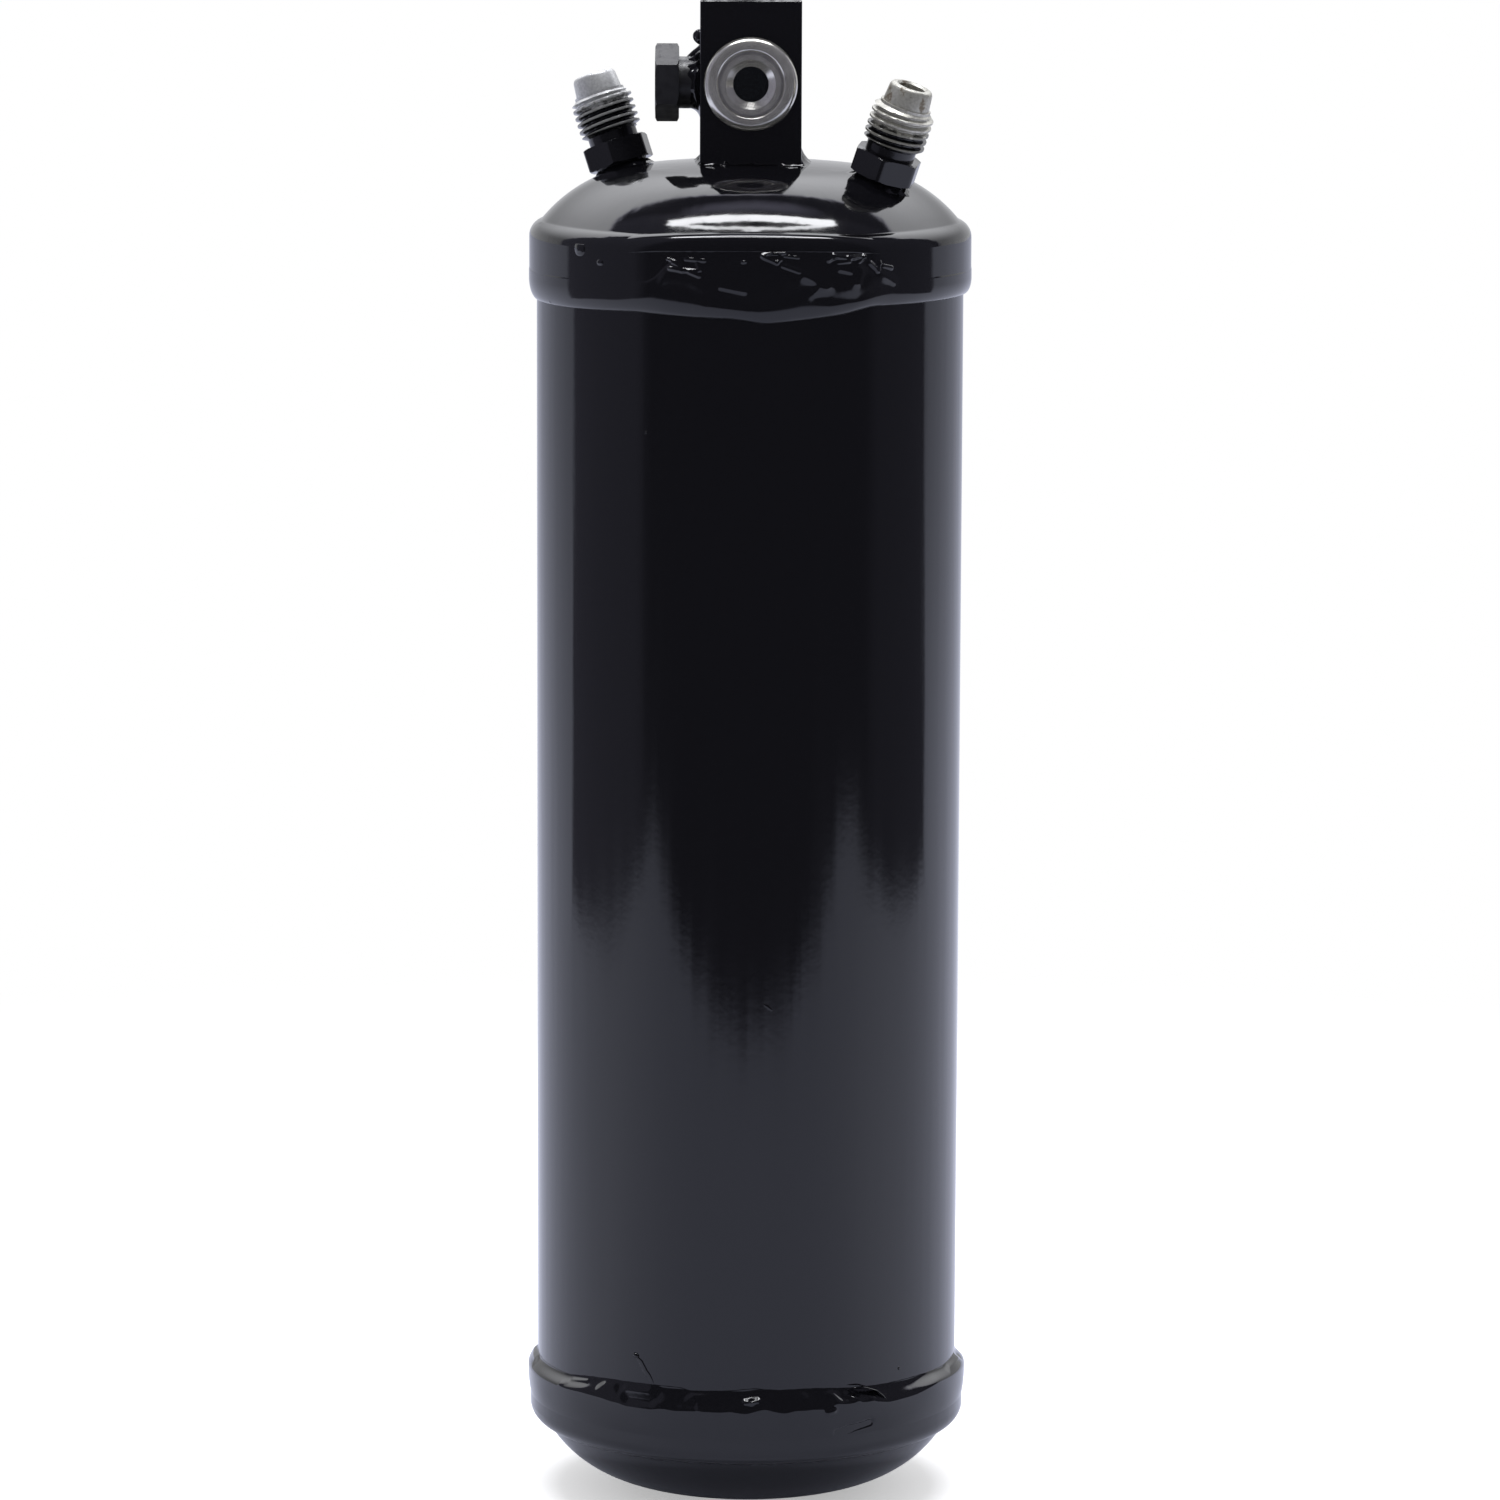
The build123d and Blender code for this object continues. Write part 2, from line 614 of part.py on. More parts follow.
os.makedirs("parts", exist_ok=True)
for name, piece in pieces.items():
    piece.part.label = name
    export_step(piece.part, f"parts/{name}.step")
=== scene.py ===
import bpy
import json
import math
import numpy as np
from mathutils import Matrix, Vector


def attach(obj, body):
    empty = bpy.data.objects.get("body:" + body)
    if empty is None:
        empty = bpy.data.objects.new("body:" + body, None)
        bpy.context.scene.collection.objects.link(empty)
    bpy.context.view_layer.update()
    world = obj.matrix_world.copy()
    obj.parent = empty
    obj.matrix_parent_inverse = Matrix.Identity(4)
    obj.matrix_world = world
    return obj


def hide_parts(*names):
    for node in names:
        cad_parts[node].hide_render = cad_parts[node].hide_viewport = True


# A receiver canister in gloss black enamel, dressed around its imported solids.
# Settings are in millimetres and degrees, meshes in metres.

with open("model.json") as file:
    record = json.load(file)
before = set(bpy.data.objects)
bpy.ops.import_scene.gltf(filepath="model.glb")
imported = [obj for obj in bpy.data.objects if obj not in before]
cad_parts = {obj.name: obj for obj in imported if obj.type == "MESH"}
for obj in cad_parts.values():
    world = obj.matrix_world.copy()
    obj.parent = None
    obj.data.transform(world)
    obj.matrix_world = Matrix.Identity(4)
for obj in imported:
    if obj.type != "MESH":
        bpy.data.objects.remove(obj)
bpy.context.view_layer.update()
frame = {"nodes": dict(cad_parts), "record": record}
nodes = frame["nodes"]
mm = 0.001
print("frame loaded:", len(nodes), "nodes")


def toLinear(hexColour):
    # An sRGB hex value as linear red, green, blue and a full alpha.
    parts = np.array([int(hexColour[i:i + 2], 16) for i in (1, 3, 5)]) / 255
    linear = np.where(parts <= 0.04045, parts / 12.92, ((parts + 0.055) / 1.055) ** 2.4)
    return (*linear.tolist(), 1.0)


def addNode(tree, kind, settings=None, values=None, links=None):
    # One node with its settings, its sockets' values and what feeds it: a socket, or a node's first output.
    node = tree.nodes.new("ShaderNode" + kind)
    for key, value in (settings or {}).items():
        setattr(node, key, value)
    for key, value in (values or {}).items():
        node.inputs[key].default_value = value
    for key, source in (links or {}).items():
        socket = source if isinstance(source, bpy.types.NodeSocket) else source.outputs[0]
        tree.links.new(socket, node.inputs[key])
    return node


def span(low, high, toLow=0.0, toHigh=1.0):
    # The values of a map from one range to another.
    return {"From Min": low, "From Max": high, "To Min": toLow, "To Max": toHigh}


# Settings that many nodes share.
plus, less, times = {"operation": "ADD"}, {"operation": "SUBTRACT"}, {"operation": "MULTIPLY"}
timesPlus, larger = {"operation": "MULTIPLY_ADD"}, {"operation": "MAXIMUM"}
colours, eased = {"data_type": "RGBA"}, {"interpolation_type": "SMOOTHSTEP"}


def newMaterial(name):
    material = bpy.data.materials.new(name)
    material.use_nodes = True
    material.node_tree.nodes.clear()
    return material, material.node_tree


# A long lens in front, a little above the canister.
camera = {"lens": 170.7, "sensor": 36.0, "place": (0.27, -1268.0, 336.6), "pitch": 9.0, "roll": 0.21}
cameraData = bpy.data.cameras.new("camera")
cameraData.sensor_width = camera["sensor"]
cameraData.lens = camera["lens"]
cameraObject = bpy.data.objects.new("camera", cameraData)
bpy.context.scene.collection.objects.link(cameraObject)
tilt = Matrix.Rotation(math.radians(90 - camera["pitch"]), 4, "X")
roll = Matrix.Rotation(math.radians(camera["roll"]), 4, "Z")
cameraObject.matrix_world = Matrix.Translation(Vector(camera["place"]) * mm) @ tilt @ roll
bpy.context.scene.camera = cameraObject
bpy.context.scene.view_settings.view_transform = "Standard"
print("camera ready")

# Studio: a white table and backdrop, a dim room in front, and bent rows of strip lamps overhead.
# Lengths are in metres, azimuths in degrees from the front, and tops in height of a unit direction.
studio = {
    "tableLeft": -0.62, "tableRight": 0.66, "tableFront": -0.50,
    "edge": 0.045, "edgeWave": 0.10, "edgeTurns": 9.0,
    # The paper's two mirror tones are painted shade: what reflections see of the table, in front and to the
    # sides.
    "mirrorShadeFront": (0.49, 0.51, 0.64, 1), "mirrorShadeSide": (0.68, 0.705, 0.85, 1), "paper": (0.95, 0.95, 0.97, 1),
    "paperLift": 0.4, "white": (0.12, 0.5), "sideways": (-1.0, -0.2), "floorHalf": 6, "floorDrop": 0.0002,
    "backdropAzimuth": 116.0, "backdropSoft": 0.04, "underAzimuth": 109.0, "underSoft": 0.03,
    "backdropTop": 0.60, "topRise": 0.26, "topSoft": 0.02,
    "backdropLow": 0.68, "backdropHigh": 3.0, "brighter": (0.2, 0.8), "backdropTone": (1, 1.01, 1.05, 1),
    "room": 0.075, "roomLeft": 0.16, "left": (-0.80, -0.90), "roomRight": 0.07, "right": (0.90, 0.96),
    "roomTone": (0.86, 0.85, 1.12, 1), "haze": 0.9, "hazeUp": (0.90, 0.97), "hazeBehind": (0.06, 0.26),
    "ambient": 0.8, "lampHeight": 1.44, "lampTone": (0.96, 0.97, 1.0),
}
# Two bent rows of strips: corners across and along the view in metres, strip width, watts a square metre.
lamps = {
    "back": ([(-0.56, 0.06), (-0.30, 0.022), (0, 0.012), (0.30, 0.025), (0.57, 0.075)], 0.15, 61.0),
    "front": ([(-0.58, 0.07), (-0.42, -0.09), (-0.24, -0.18), (0, -0.225), (0.24, -0.18), (0.42, -0.09),
               (0.59, 0.08)], 0.066, 53.0),
}


def levelDirection(tree, x, y):
    # The same direction laid level, as a unit vector's two parts.
    flat = addNode(tree, "CombineXYZ", links={"X": x, "Y": y})
    unit = addNode(tree, "VectorMath", {"operation": "NORMALIZE"}, links={0: flat})
    return addNode(tree, "SeparateXYZ", links={"Vector": unit})


def roomGlow(tree, level):
    # The dim room: darkest in front, a little lighter to the left and at the far right.
    toLeft = span(*studio["left"], studio["room"], studio["room"] + studio["roomLeft"])
    toRight = span(*studio["right"], 0.0, studio["roomRight"])
    left = addNode(tree, "MapRange", eased, toLeft, {"Value": level.outputs["X"]})
    right = addNode(tree, "MapRange", eased, toRight, {"Value": level.outputs["X"]})
    return addNode(tree, "Math", plus, links={0: left, 1: right})


world = bpy.data.worlds.new("studio")
bpy.context.scene.world = world
world.use_nodes = True
tree = world.node_tree
tree.nodes.clear()
place = addNode(tree, "TexCoord")
path = addNode(tree, "LightPath")
direction = addNode(tree, "SeparateXYZ", links={"Vector": place.outputs["Generated"]})
level = levelDirection(tree, direction.outputs["X"], direction.outputs["Y"])
# The backdrop stands behind, up to a top edge that is highest straight behind, and brightens upward.
behind = -math.cos(math.radians(studio["backdropAzimuth"]))
sideEdge = span(behind - studio["backdropSoft"], behind + studio["backdropSoft"])
side = addNode(tree, "MapRange", eased, sideEdge, {"Value": level.outputs["Y"]})
over = addNode(tree, "Math", timesPlus, {1: -studio["topRise"]},
               {0: level.outputs["Y"], 2: direction.outputs["Z"]})
topEdge = span(studio["backdropTop"] - studio["topSoft"], studio["backdropTop"] + studio["topSoft"], 1, 0)
under = addNode(tree, "MapRange", eased, topEdge, {"Value": over})
backdrop = addNode(tree, "Math", times, links={0: side, 1: under})
brighter = span(*studio["brighter"], studio["backdropLow"], studio["backdropHigh"])
rise = addNode(tree, "MapRange", eased, brighter, {"Value": direction.outputs["Z"]})
lit = addNode(tree, "Math", times, links={0: backdrop, 1: rise})
# A soft haze of ceiling light high up behind.
high = addNode(tree, "MapRange", eased, span(*studio["hazeUp"], 0.0, studio["haze"]),
               {"Value": direction.outputs["Z"]})
back = addNode(tree, "MapRange", eased, span(*studio["hazeBehind"]), {"Value": direction.outputs["Y"]})
haze = addNode(tree, "Math", times, links={0: high, 1: back})
glow = addNode(tree, "Math", larger, links={0: haze, 1: roomGlow(tree, level)})
seen = addNode(tree, "Math", larger, links={0: lit, 1: glow})
mirror = addNode(tree, "Math", larger,
                 links={0: path.outputs["Is Glossy Ray"], 1: path.outputs["Is Transmission Ray"]})
# Mirrors see the studio, plain surfaces an even light, and the camera white.
diffuseOrMirror = addNode(tree, "Mix", {"data_type": "FLOAT"}, {"A": studio["ambient"]},
                          {"Factor": mirror, "B": seen})
strength = addNode(tree, "Math", larger, links={0: diffuseOrMirror, 1: path.outputs["Is Camera Ray"]})
mirrorTone = addNode(tree, "Mix", colours, {"A": studio["roomTone"], "B": studio["backdropTone"]},
                     {"Factor": backdrop})
tone = addNode(tree, "Mix", colours, {"A": (1, 1, 1, 1)},
               {"Factor": mirror, "B": mirrorTone.outputs["Result"]})
sky = addNode(tree, "Background", links={"Color": tone.outputs["Result"], "Strength": strength})
addNode(tree, "OutputWorld", links={"Surface": sky})

half = studio["floorHalf"]
floorMesh = bpy.data.meshes.new("floor")
corners = [(-half, -half, 0), (half, -half, 0), (half, half, 0), (-half, half, 0)]
floorMesh.from_pydata(corners, [], [(0, 1, 2, 3)])
floor = bpy.data.objects.new("floor", floorMesh)
bpy.context.scene.collection.objects.link(floor)
floor.location.z = -studio["floorDrop"]
paper, tree = newMaterial("matt white table paper")
place = addNode(tree, "TexCoord")
path = addNode(tree, "LightPath")
parts = addNode(tree, "SeparateXYZ", links={"Vector": place.outputs["Object"]})
level = levelDirection(tree, parts.outputs["X"], parts.outputs["Y"])
# The mirrored table ends at its edges, which waver by direction; behind, it runs on under the backdrop.
turn = addNode(tree, "TexNoise", {"noise_dimensions": "1D"},
               {"Scale": studio["edgeTurns"], "Detail": 3.0, "Roughness": 0.6}, {"W": level.outputs["X"]})
waver = addNode(tree, "Math", timesPlus, {1: studio["edgeWave"], 2: -studio["edgeWave"] / 2}, {0: turn})
mask = None
for axis, edge, sign in (("Y", "tableFront", 1), ("X", "tableLeft", 1), ("X", "tableRight", -1)):
    soft = studio["edge"] * sign
    moved = addNode(tree, "Math", timesPlus, {1: float(sign)}, {0: waver, 2: parts.outputs[axis]})
    step = addNode(tree, "MapRange", eased, span(studio[edge] - soft, studio[edge] + soft),
                   {"Value": moved})
    mask = step if mask is None else addNode(tree, "Math", times, links={0: mask, 1: step})
behind = -math.cos(math.radians(studio["underAzimuth"]))
underEdge = span(behind - studio["underSoft"], behind + studio["underSoft"])
runOn = addNode(tree, "MapRange", eased, underEdge, {"Value": level.outputs["Y"]})
table = addNode(tree, "Math", larger, links={0: mask, 1: runOn})
notGlossy = addNode(tree, "Math", less, {0: 1.0}, {1: path.outputs["Is Glossy Ray"]})
shown = addNode(tree, "Math", larger, links={0: table, 1: notGlossy})
# Painted shade: in reflections only, the paper takes darker, bluer tones than it shows directly, darkest
# straight in front.
sideways = addNode(tree, "MapRange", eased, span(*studio["sideways"]), {"Value": level.outputs["Y"]})
mirrored = addNode(tree, "Mix", colours, {"A": studio["mirrorShadeFront"], "B": studio["mirrorShadeSide"]},
                   {"Factor": sideways})
tone = addNode(tree, "Mix", colours, {"A": studio["paper"]},
               {"Factor": path.outputs["Is Glossy Ray"], "B": mirrored.outputs["Result"]})
matt = addNode(tree, "BsdfDiffuse", links={"Color": tone.outputs["Result"]})
# Seen directly, the paper is lifted a little near the canister and plain white farther out.
white = addNode(tree, "Emission", values={"Color": (1, 1, 1, 1), "Strength": 1.0})
lift = addNode(tree, "Math", times, {1: studio["paperLift"]}, {0: path.outputs["Is Camera Ray"]})
lifted = addNode(tree, "Emission", links={"Strength": lift})
both = addNode(tree, "AddShader", links={0: matt, 1: lifted})
reach = addNode(tree, "VectorMath", {"operation": "LENGTH"}, links={0: place.outputs["Object"]})
far = addNode(tree, "MapRange", eased, span(*studio["white"]), {"Value": reach.outputs["Value"]})
farSeen = addNode(tree, "Math", times, links={0: far, 1: path.outputs["Is Camera Ray"]})
nearOrFar = addNode(tree, "MixShader", links={0: farSeen, 1: both, 2: white})
# Beyond the table's edges, reflections see the floor glow dimly in the room's tone: a painted glow that
# stands in for the dim room.
dim = addNode(tree, "Emission", values={"Color": studio["roomTone"]},
              links={"Strength": roomGlow(tree, level)})
pick = addNode(tree, "MixShader", links={0: shown, 1: dim, 2: nearOrFar})
addNode(tree, "OutputMaterial", links={"Surface": pick})
floorMesh.materials.append(paper)

for name, (corners, width, power) in lamps.items():
    for start, end in zip(corners, corners[1:]):
        across, along = end[0] - start[0], end[1] - start[1]
        lamp = bpy.data.lights.new(name, "AREA")
        lamp.shape = "RECTANGLE"
        lamp.size, lamp.size_y = math.hypot(across, along), width
        lamp.energy = power * lamp.size * width
        lamp.color = studio["lampTone"]
        lampObject = bpy.data.objects.new(name, lamp)
        lampObject.location = ((start[0] + end[0]) / 2, (start[1] + end[1]) / 2, studio["lampHeight"])
        lampObject.rotation_euler.z = math.atan2(along, across)
        bpy.context.scene.collection.objects.link(lampObject)
        lampObject.visible_camera = False
print("studio ready")

# Gloss black enamel over drawn and rolled steel: nearly black, with a clear mirror that the
# brush-dry film and the sheet under it make run in faint upright streaks.
enamelSettings = {"colour": "#0a0a0d", "roughness": 0.075, "streakWidth": 5.0, "streakLength": 110.0,
                  "streakHeight": 0.05, "peelSize": 1.4, "peelHeight": 0.004, "specular": 0.5}


def enamelSurface(tree, place, settings):
    # Two noises in Object coordinates: long upright runs, and the fine skin of sprayed film.
    drawn = settings["streakWidth"] / settings["streakLength"]
    runs = addNode(tree, "Mapping", values={"Scale": (1, 1, drawn)},
                   links={"Vector": place.outputs["Object"]})
    streak = addNode(tree, "TexNoise", values={"Scale": 1000 / settings["streakWidth"], "Detail": 2.0},
                     links={"Vector": runs})
    peel = addNode(tree, "TexNoise", values={"Scale": 1000 / settings["peelSize"], "Detail": 1.0},
                   links={"Vector": place.outputs["Object"]})
    first = addNode(tree, "Bump", values={"Strength": 1.0, "Distance": settings["streakHeight"] * mm},
                    links={"Height": streak})
    return addNode(tree, "Bump", values={"Strength": 1.0, "Distance": settings["peelHeight"] * mm},
                   links={"Height": peel, "Normal": first}), streak


def enamelMaterial(name, settings):
    material, tree = newMaterial(name)
    place = addNode(tree, "TexCoord")
    bump, streak = enamelSurface(tree, place, settings)
    haze = addNode(tree, "MapRange",
                   values=span(0.3, 0.75, settings["roughness"] * 0.7, settings["roughness"] * 1.5),
                   links={"Value": streak})
    shader = addNode(tree, "BsdfPrincipled",
                     values={"Base Color": toLinear(settings["colour"]),
                             "Specular IOR Level": settings["specular"]},
                     links={"Roughness": haze, "Normal": bump})
    addNode(tree, "OutputMaterial", links={"Surface": shader})
    return material


enamel = enamelMaterial("gloss black enamel on rolled steel", enamelSettings)
# Over weld metal the same film lies thicker and runs into the hollows: a wetter, rounder mirror.
weldEnamel = enamelMaterial("gloss black enamel on weld metal",
                            {**enamelSettings, "streakWidth": 2.5, "streakLength": 2.5,
                             "streakHeight": 0.006, "roughness": 0.07})
# On the forged plug the film is thin and dry: the overhead light spreads over its upper faces.
plugEnamel = enamelMaterial("satin black enamel on forged steel",
                            {**enamelSettings, "streakWidth": 1.5, "streakLength": 1.5,
                             "streakHeight": 0.01, "roughness": 0.42, "specular": 1.0})

# Zinc plate on turned steel: a bright grey satin, drawn out in rings by the tool's feed. The rings are
# spaced wider than real feed marks, so that they show.
platedSettings = {"low": "#c3c1bb", "high": "#f4f2ec", "metallic": 0.9, "roughLow": 0.16, "roughHigh": 0.27,
                  "ringPitch": 0.35, "ringHeight": 0.006, "waver": 0.6, "cloud": 2.4,
                  "centreHeight": 256.25}


def platedMaterial(name, s):
    material, tree = newMaterial(name)
    place = addNode(tree, "TexCoord")
    centred = addNode(tree, "Mapping", values={"Location": (0, 0, -s["centreHeight"] * mm)},
                      links={"Vector": place.outputs["Object"]})
    # A wave texture runs through twenty units of phase for each unit of scale.
    rings = addNode(tree, "TexWave", {"wave_type": "RINGS", "rings_direction": "Y"},
                    {"Scale": 1000 / s["ringPitch"] / 20, "Distortion": s["waver"], "Detail": 1.0},
                    {"Vector": centred})
    cloud = addNode(tree, "TexNoise", values={"Scale": 1000 / s["cloud"], "Detail": 3.0},
                    links={"Vector": place.outputs["Object"]})
    tone = addNode(tree, "Mix", colours, {"A": toLinear(s["low"]), "B": toLinear(s["high"])},
                   {"Factor": cloud})
    ringBump = addNode(tree, "Bump", values={"Strength": 1.0, "Distance": s["ringHeight"] * mm},
                       links={"Height": rings})
    satin = addNode(tree, "MapRange", values={"To Min": s["roughLow"], "To Max": s["roughHigh"]},
                    links={"Value": cloud})
    shader = addNode(tree, "BsdfPrincipled", values={"Metallic": s["metallic"]},
                     links={"Base Color": tone.outputs["Result"], "Roughness": satin,
                            "Normal": ringBump})
    addNode(tree, "OutputMaterial", links={"Surface": shader})
    return material


def simpleMaterial(name, low, high, grain, height, roughness, metallic=0.0, transmission=0.0):
    # A colour that drifts between two tones with a grain of this size, and the same grain as relief.
    material, tree = newMaterial(name)
    place = addNode(tree, "TexCoord")
    noise = addNode(tree, "TexNoise", values={"Scale": 1000 / grain, "Detail": 3.0},
                    links={"Vector": place.outputs["Object"]})
    tone = addNode(tree, "Mix", colours, {"A": toLinear(low), "B": toLinear(high)}, {"Factor": noise})
    relief = addNode(tree, "Bump", values={"Strength": 1.0, "Distance": height * mm},
                     links={"Height": noise})
    shader = addNode(tree, "BsdfPrincipled",
                     values={"Roughness": roughness, "Metallic": metallic,
                             "Transmission Weight": transmission},
                     links={"Base Color": tone.outputs["Result"], "Normal": relief})
    addNode(tree, "OutputMaterial", links={"Surface": shader})
    return material


finishes = {
    "black_enamel": enamel,
    "painted_weld": weldEnamel,
    "plated_steel": platedMaterial("zinc plate on turned steel", platedSettings),
    # Fused sight glass: polished and mostly transmissive, but its own colour is near black, a painted shade
    # that stands in for the dark chamber behind it.
    "sight_glass": simpleMaterial("polished sight glass in painted shade", "#20262a", "#2a3032", 3.0, 0.002, 0.04,
                                  transmission=0.85),
    # Pressed fibre gasket: matt and nearly black.
    "gasket_fibre": simpleMaterial("pressed fibre gasket", "#161616", "#262524", 0.4, 0.02, 0.85),
    # Cast low-melting alloy: a dull, slightly crystalline grey.
    "fusible_alloy": simpleMaterial("cast fusible alloy", "#7f8084", "#a3a4a8", 0.6, 0.02, 0.45, 1.0),
    # Drawn steel: plain grey with a soft sheen.
    "inner_steel": simpleMaterial("plain drawn steel", "#85868a", "#a2a3a6", 1.5, 0.01, 0.38, 1.0),
    # Oiled spring wire: darker than the plates.
    "spring_steel": simpleMaterial("oiled spring wire", "#4f4f52", "#6c6c70", 0.8, 0.01, 0.3, 1.0),
    # Turned brass: a warm yellow with a clear sheen.
    "strainer_brass": simpleMaterial("turned brass", "#b08d46", "#caa95c", 0.7, 0.01, 0.32, 1.0),
    # Needled felt: soft, off-white and fully matt.
    "felt": simpleMaterial("needled felt", "#c9c3b2", "#e2ddcf", 0.5, 0.2, 0.98),
    # Molecular sieve beads packed tight: pale tan grains with deep shadows between.
    "desiccant": simpleMaterial("packed sieve beads", "#b9a684", "#d8c9a9", 2.0, 0.8, 0.9),
}


# Turned steel under enamel that stops part of the way up the thread: bare beyond, with worn crests
# below and, where it has begun, a brown bloom near the mouth.
threadFinish = {
    "blotch": 1.923, "grain": 0.4545,  # widths in millimetres
    "ragged": 4.5, "bare": (1.5, 2.9), "crest": (5.30, 5.52), "thread": (6.4, 8.2), "mouth": (13.6, 14.6),
    "bloom": 0.9, "bloomSoft": 0.14, "rust": "#54493d", "rustDulls": 0.5, "enamel": "#0c0c0f",
    "metallic": 0.72, "roughEnamel": 0.16, "roughBare": 0.40, "grainHeight": 0.012,
}


def threadedSteel(name, origin, axis, s, own):
    # How far up the fitting's axis a point lies says what covers it, and how far out says what is worn.
    material, tree = newMaterial(name)
    place = addNode(tree, "TexCoord")
    foot = addNode(tree, "VectorMath", less, {1: [c * mm for c in origin]}, {0: place.outputs["Object"]})
    along = addNode(tree, "VectorMath", {"operation": "DOT_PRODUCT"}, {1: list(axis)}, {0: foot})
    onAxis = addNode(tree, "VectorMath", {"operation": "SCALE"}, {0: list(axis)},
                     {"Scale": along.outputs["Value"]})
    fromAxis = addNode(tree, "VectorMath", {"operation": "DISTANCE"}, links={0: foot, 1: onAxis})
    blotch = addNode(tree, "TexNoise",
                     values={"Scale": 1000 / s["blotch"], "Detail": 4.0, "Roughness": 0.6},
                     links={"Vector": place.outputs["Object"]})
    fine = addNode(tree, "TexNoise", values={"Scale": 1000 / s["grain"], "Detail": 2.0},
                   links={"Vector": place.outputs["Object"]})
    ragged = addNode(tree, "Math", timesPlus, {1: s["ragged"] * mm}, {0: blotch, 2: along.outputs["Value"]})
    beyond = addNode(tree, "MapRange", eased, span(*[(own["bareFrom"] + c) * mm for c in s["bare"]]),
                     {"Value": ragged})
    crest = addNode(tree, "MapRange", eased, span(*[c * mm for c in s["crest"]], 0.0, own["wear"]),
                    {"Value": fromAxis.outputs["Value"]})
    onThread = addNode(tree, "MapRange", eased, span(*[c * mm for c in s["thread"]]),
                       {"Value": along.outputs["Value"]})
    worn = addNode(tree, "Math", times, links={0: crest, 1: onThread})
    bare = addNode(tree, "Math", larger, links={0: beyond, 1: worn})
    steelTone = addNode(tree, "Mix", colours,
                        {"A": toLinear(own["steelLow"]), "B": toLinear(own["steelHigh"])},
                        {"Factor": fine})
    bloom = addNode(tree, "MapRange", eased,
                    span(own["bloomFrom"], own["bloomFrom"] + s["bloomSoft"], 0.0, s["bloom"]),
                    {"Value": blotch})
    nearMouth = addNode(tree, "MapRange", eased, span(*[c * mm for c in s["mouth"]]),
                        {"Value": along.outputs["Value"]})
    rust = addNode(tree, "Math", times, links={0: bloom, 1: nearMouth})
    steelAndRust = addNode(tree, "Mix", colours, {"B": toLinear(s["rust"])},
                           {"Factor": rust, "A": steelTone.outputs["Result"]})
    colour = addNode(tree, "Mix", colours, {"A": toLinear(s["enamel"])},
                     {"Factor": bare, "B": steelAndRust.outputs["Result"]})
    steelMetal = addNode(tree, "Math", times, {1: s["metallic"]}, {0: bare})
    metal = addNode(tree, "Math", {**timesPlus, "use_clamp": True}, {1: -s["rustDulls"]},
                    {0: rust, 2: steelMetal})
    rough = addNode(tree, "MapRange", values={"To Min": s["roughEnamel"], "To Max": s["roughBare"]},
                    links={"Value": bare})
    relief = addNode(tree, "Bump", values={"Strength": 1.0, "Distance": s["grainHeight"] * mm},
                     links={"Height": fine})
    shader = addNode(tree, "BsdfPrincipled",
                     links={"Base Color": colour.outputs["Result"], "Metallic": metal,
                            "Roughness": rough, "Normal": relief})
    addNode(tree, "OutputMaterial", links={"Surface": shader})
    return material


for row in frame["record"]["subparts"]:
    name, slot = row["node"], row["material_slot"]
    if slot in finishes:
        nodes[name].data.materials.clear()
        nodes[name].data.materials.append(plugEnamel if name == "relief_plug" else finishes[slot])
print("materials ready")


def gridFaces(rows, columns, closeRows):
    # Quads between neighbouring points of a grid whose columns close round the axis.
    r = np.arange(rows if closeRows else rows - 1)[:, None]
    c = np.arange(columns)[None, :]
    nextRow, nextColumn = (r + 1) % rows, (c + 1) % columns
    return np.stack([r * columns + c, r * columns + nextColumn,
                     nextRow * columns + nextColumn, nextRow * columns + c], -1).reshape(-1, 4)


def cappedFaces(rows, columns):
    # The same grid left open, with a fan to one point before its first row and one after its last.
    quads = gridFaces(rows, columns, False).tolist()
    c = np.arange(columns)
    last = (rows - 1) * columns
    first = np.stack([(c + 1) % columns, c, np.full(columns, rows * columns)], -1)
    final = np.stack([last + c, last + (c + 1) % columns, np.full(columns, rows * columns + 1)], -1)
    return quads + first.tolist() + final.tolist()


def addPiece(name, points, faces, material, replaced=(), sharp=38):
    # Faces are turned outward by the sign of the closed surface's volume, then the piece rides the body.
    mesh = bpy.data.meshes.new(name)
    corners = np.array([face[:3] for face in faces] + [[f[0], f[2], f[3]] for f in faces if len(f) == 4])
    a, b, c = (points[corners[:, i]] for i in range(3))
    if np.einsum("ij,ij->i", a, np.cross(b, c)).sum() < 0:
        faces = [list(face)[::-1] for face in faces]
    mesh.from_pydata((points * mm).tolist(), [], [list(face) for face in faces])
    mesh.validate()
    mesh.polygons.foreach_set("use_smooth", np.ones(len(mesh.polygons), bool))
    mesh.set_sharp_from_angle(angle=math.radians(sharp))
    mesh.materials.append(material)
    piece = bpy.data.objects.new(name, mesh)
    bpy.context.scene.collection.objects.link(piece)
    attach(piece, "root")
    if replaced:
        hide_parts(*replaced)
    print("piece", name, len(mesh.polygons), "faces")
    return piece


def addGrid(name, points, material, replaced=(), sharp=38):
    # A grid of points whose rows and columns both close, as one piece.
    faces = gridFaces(*points.shape[:2], True)
    return addPiece(name, points.reshape(-1, 3), faces, material, replaced, sharp)


def evenRow(angle, value):
    # One row of the same value.
    return [np.full(len(angle), float(value))]


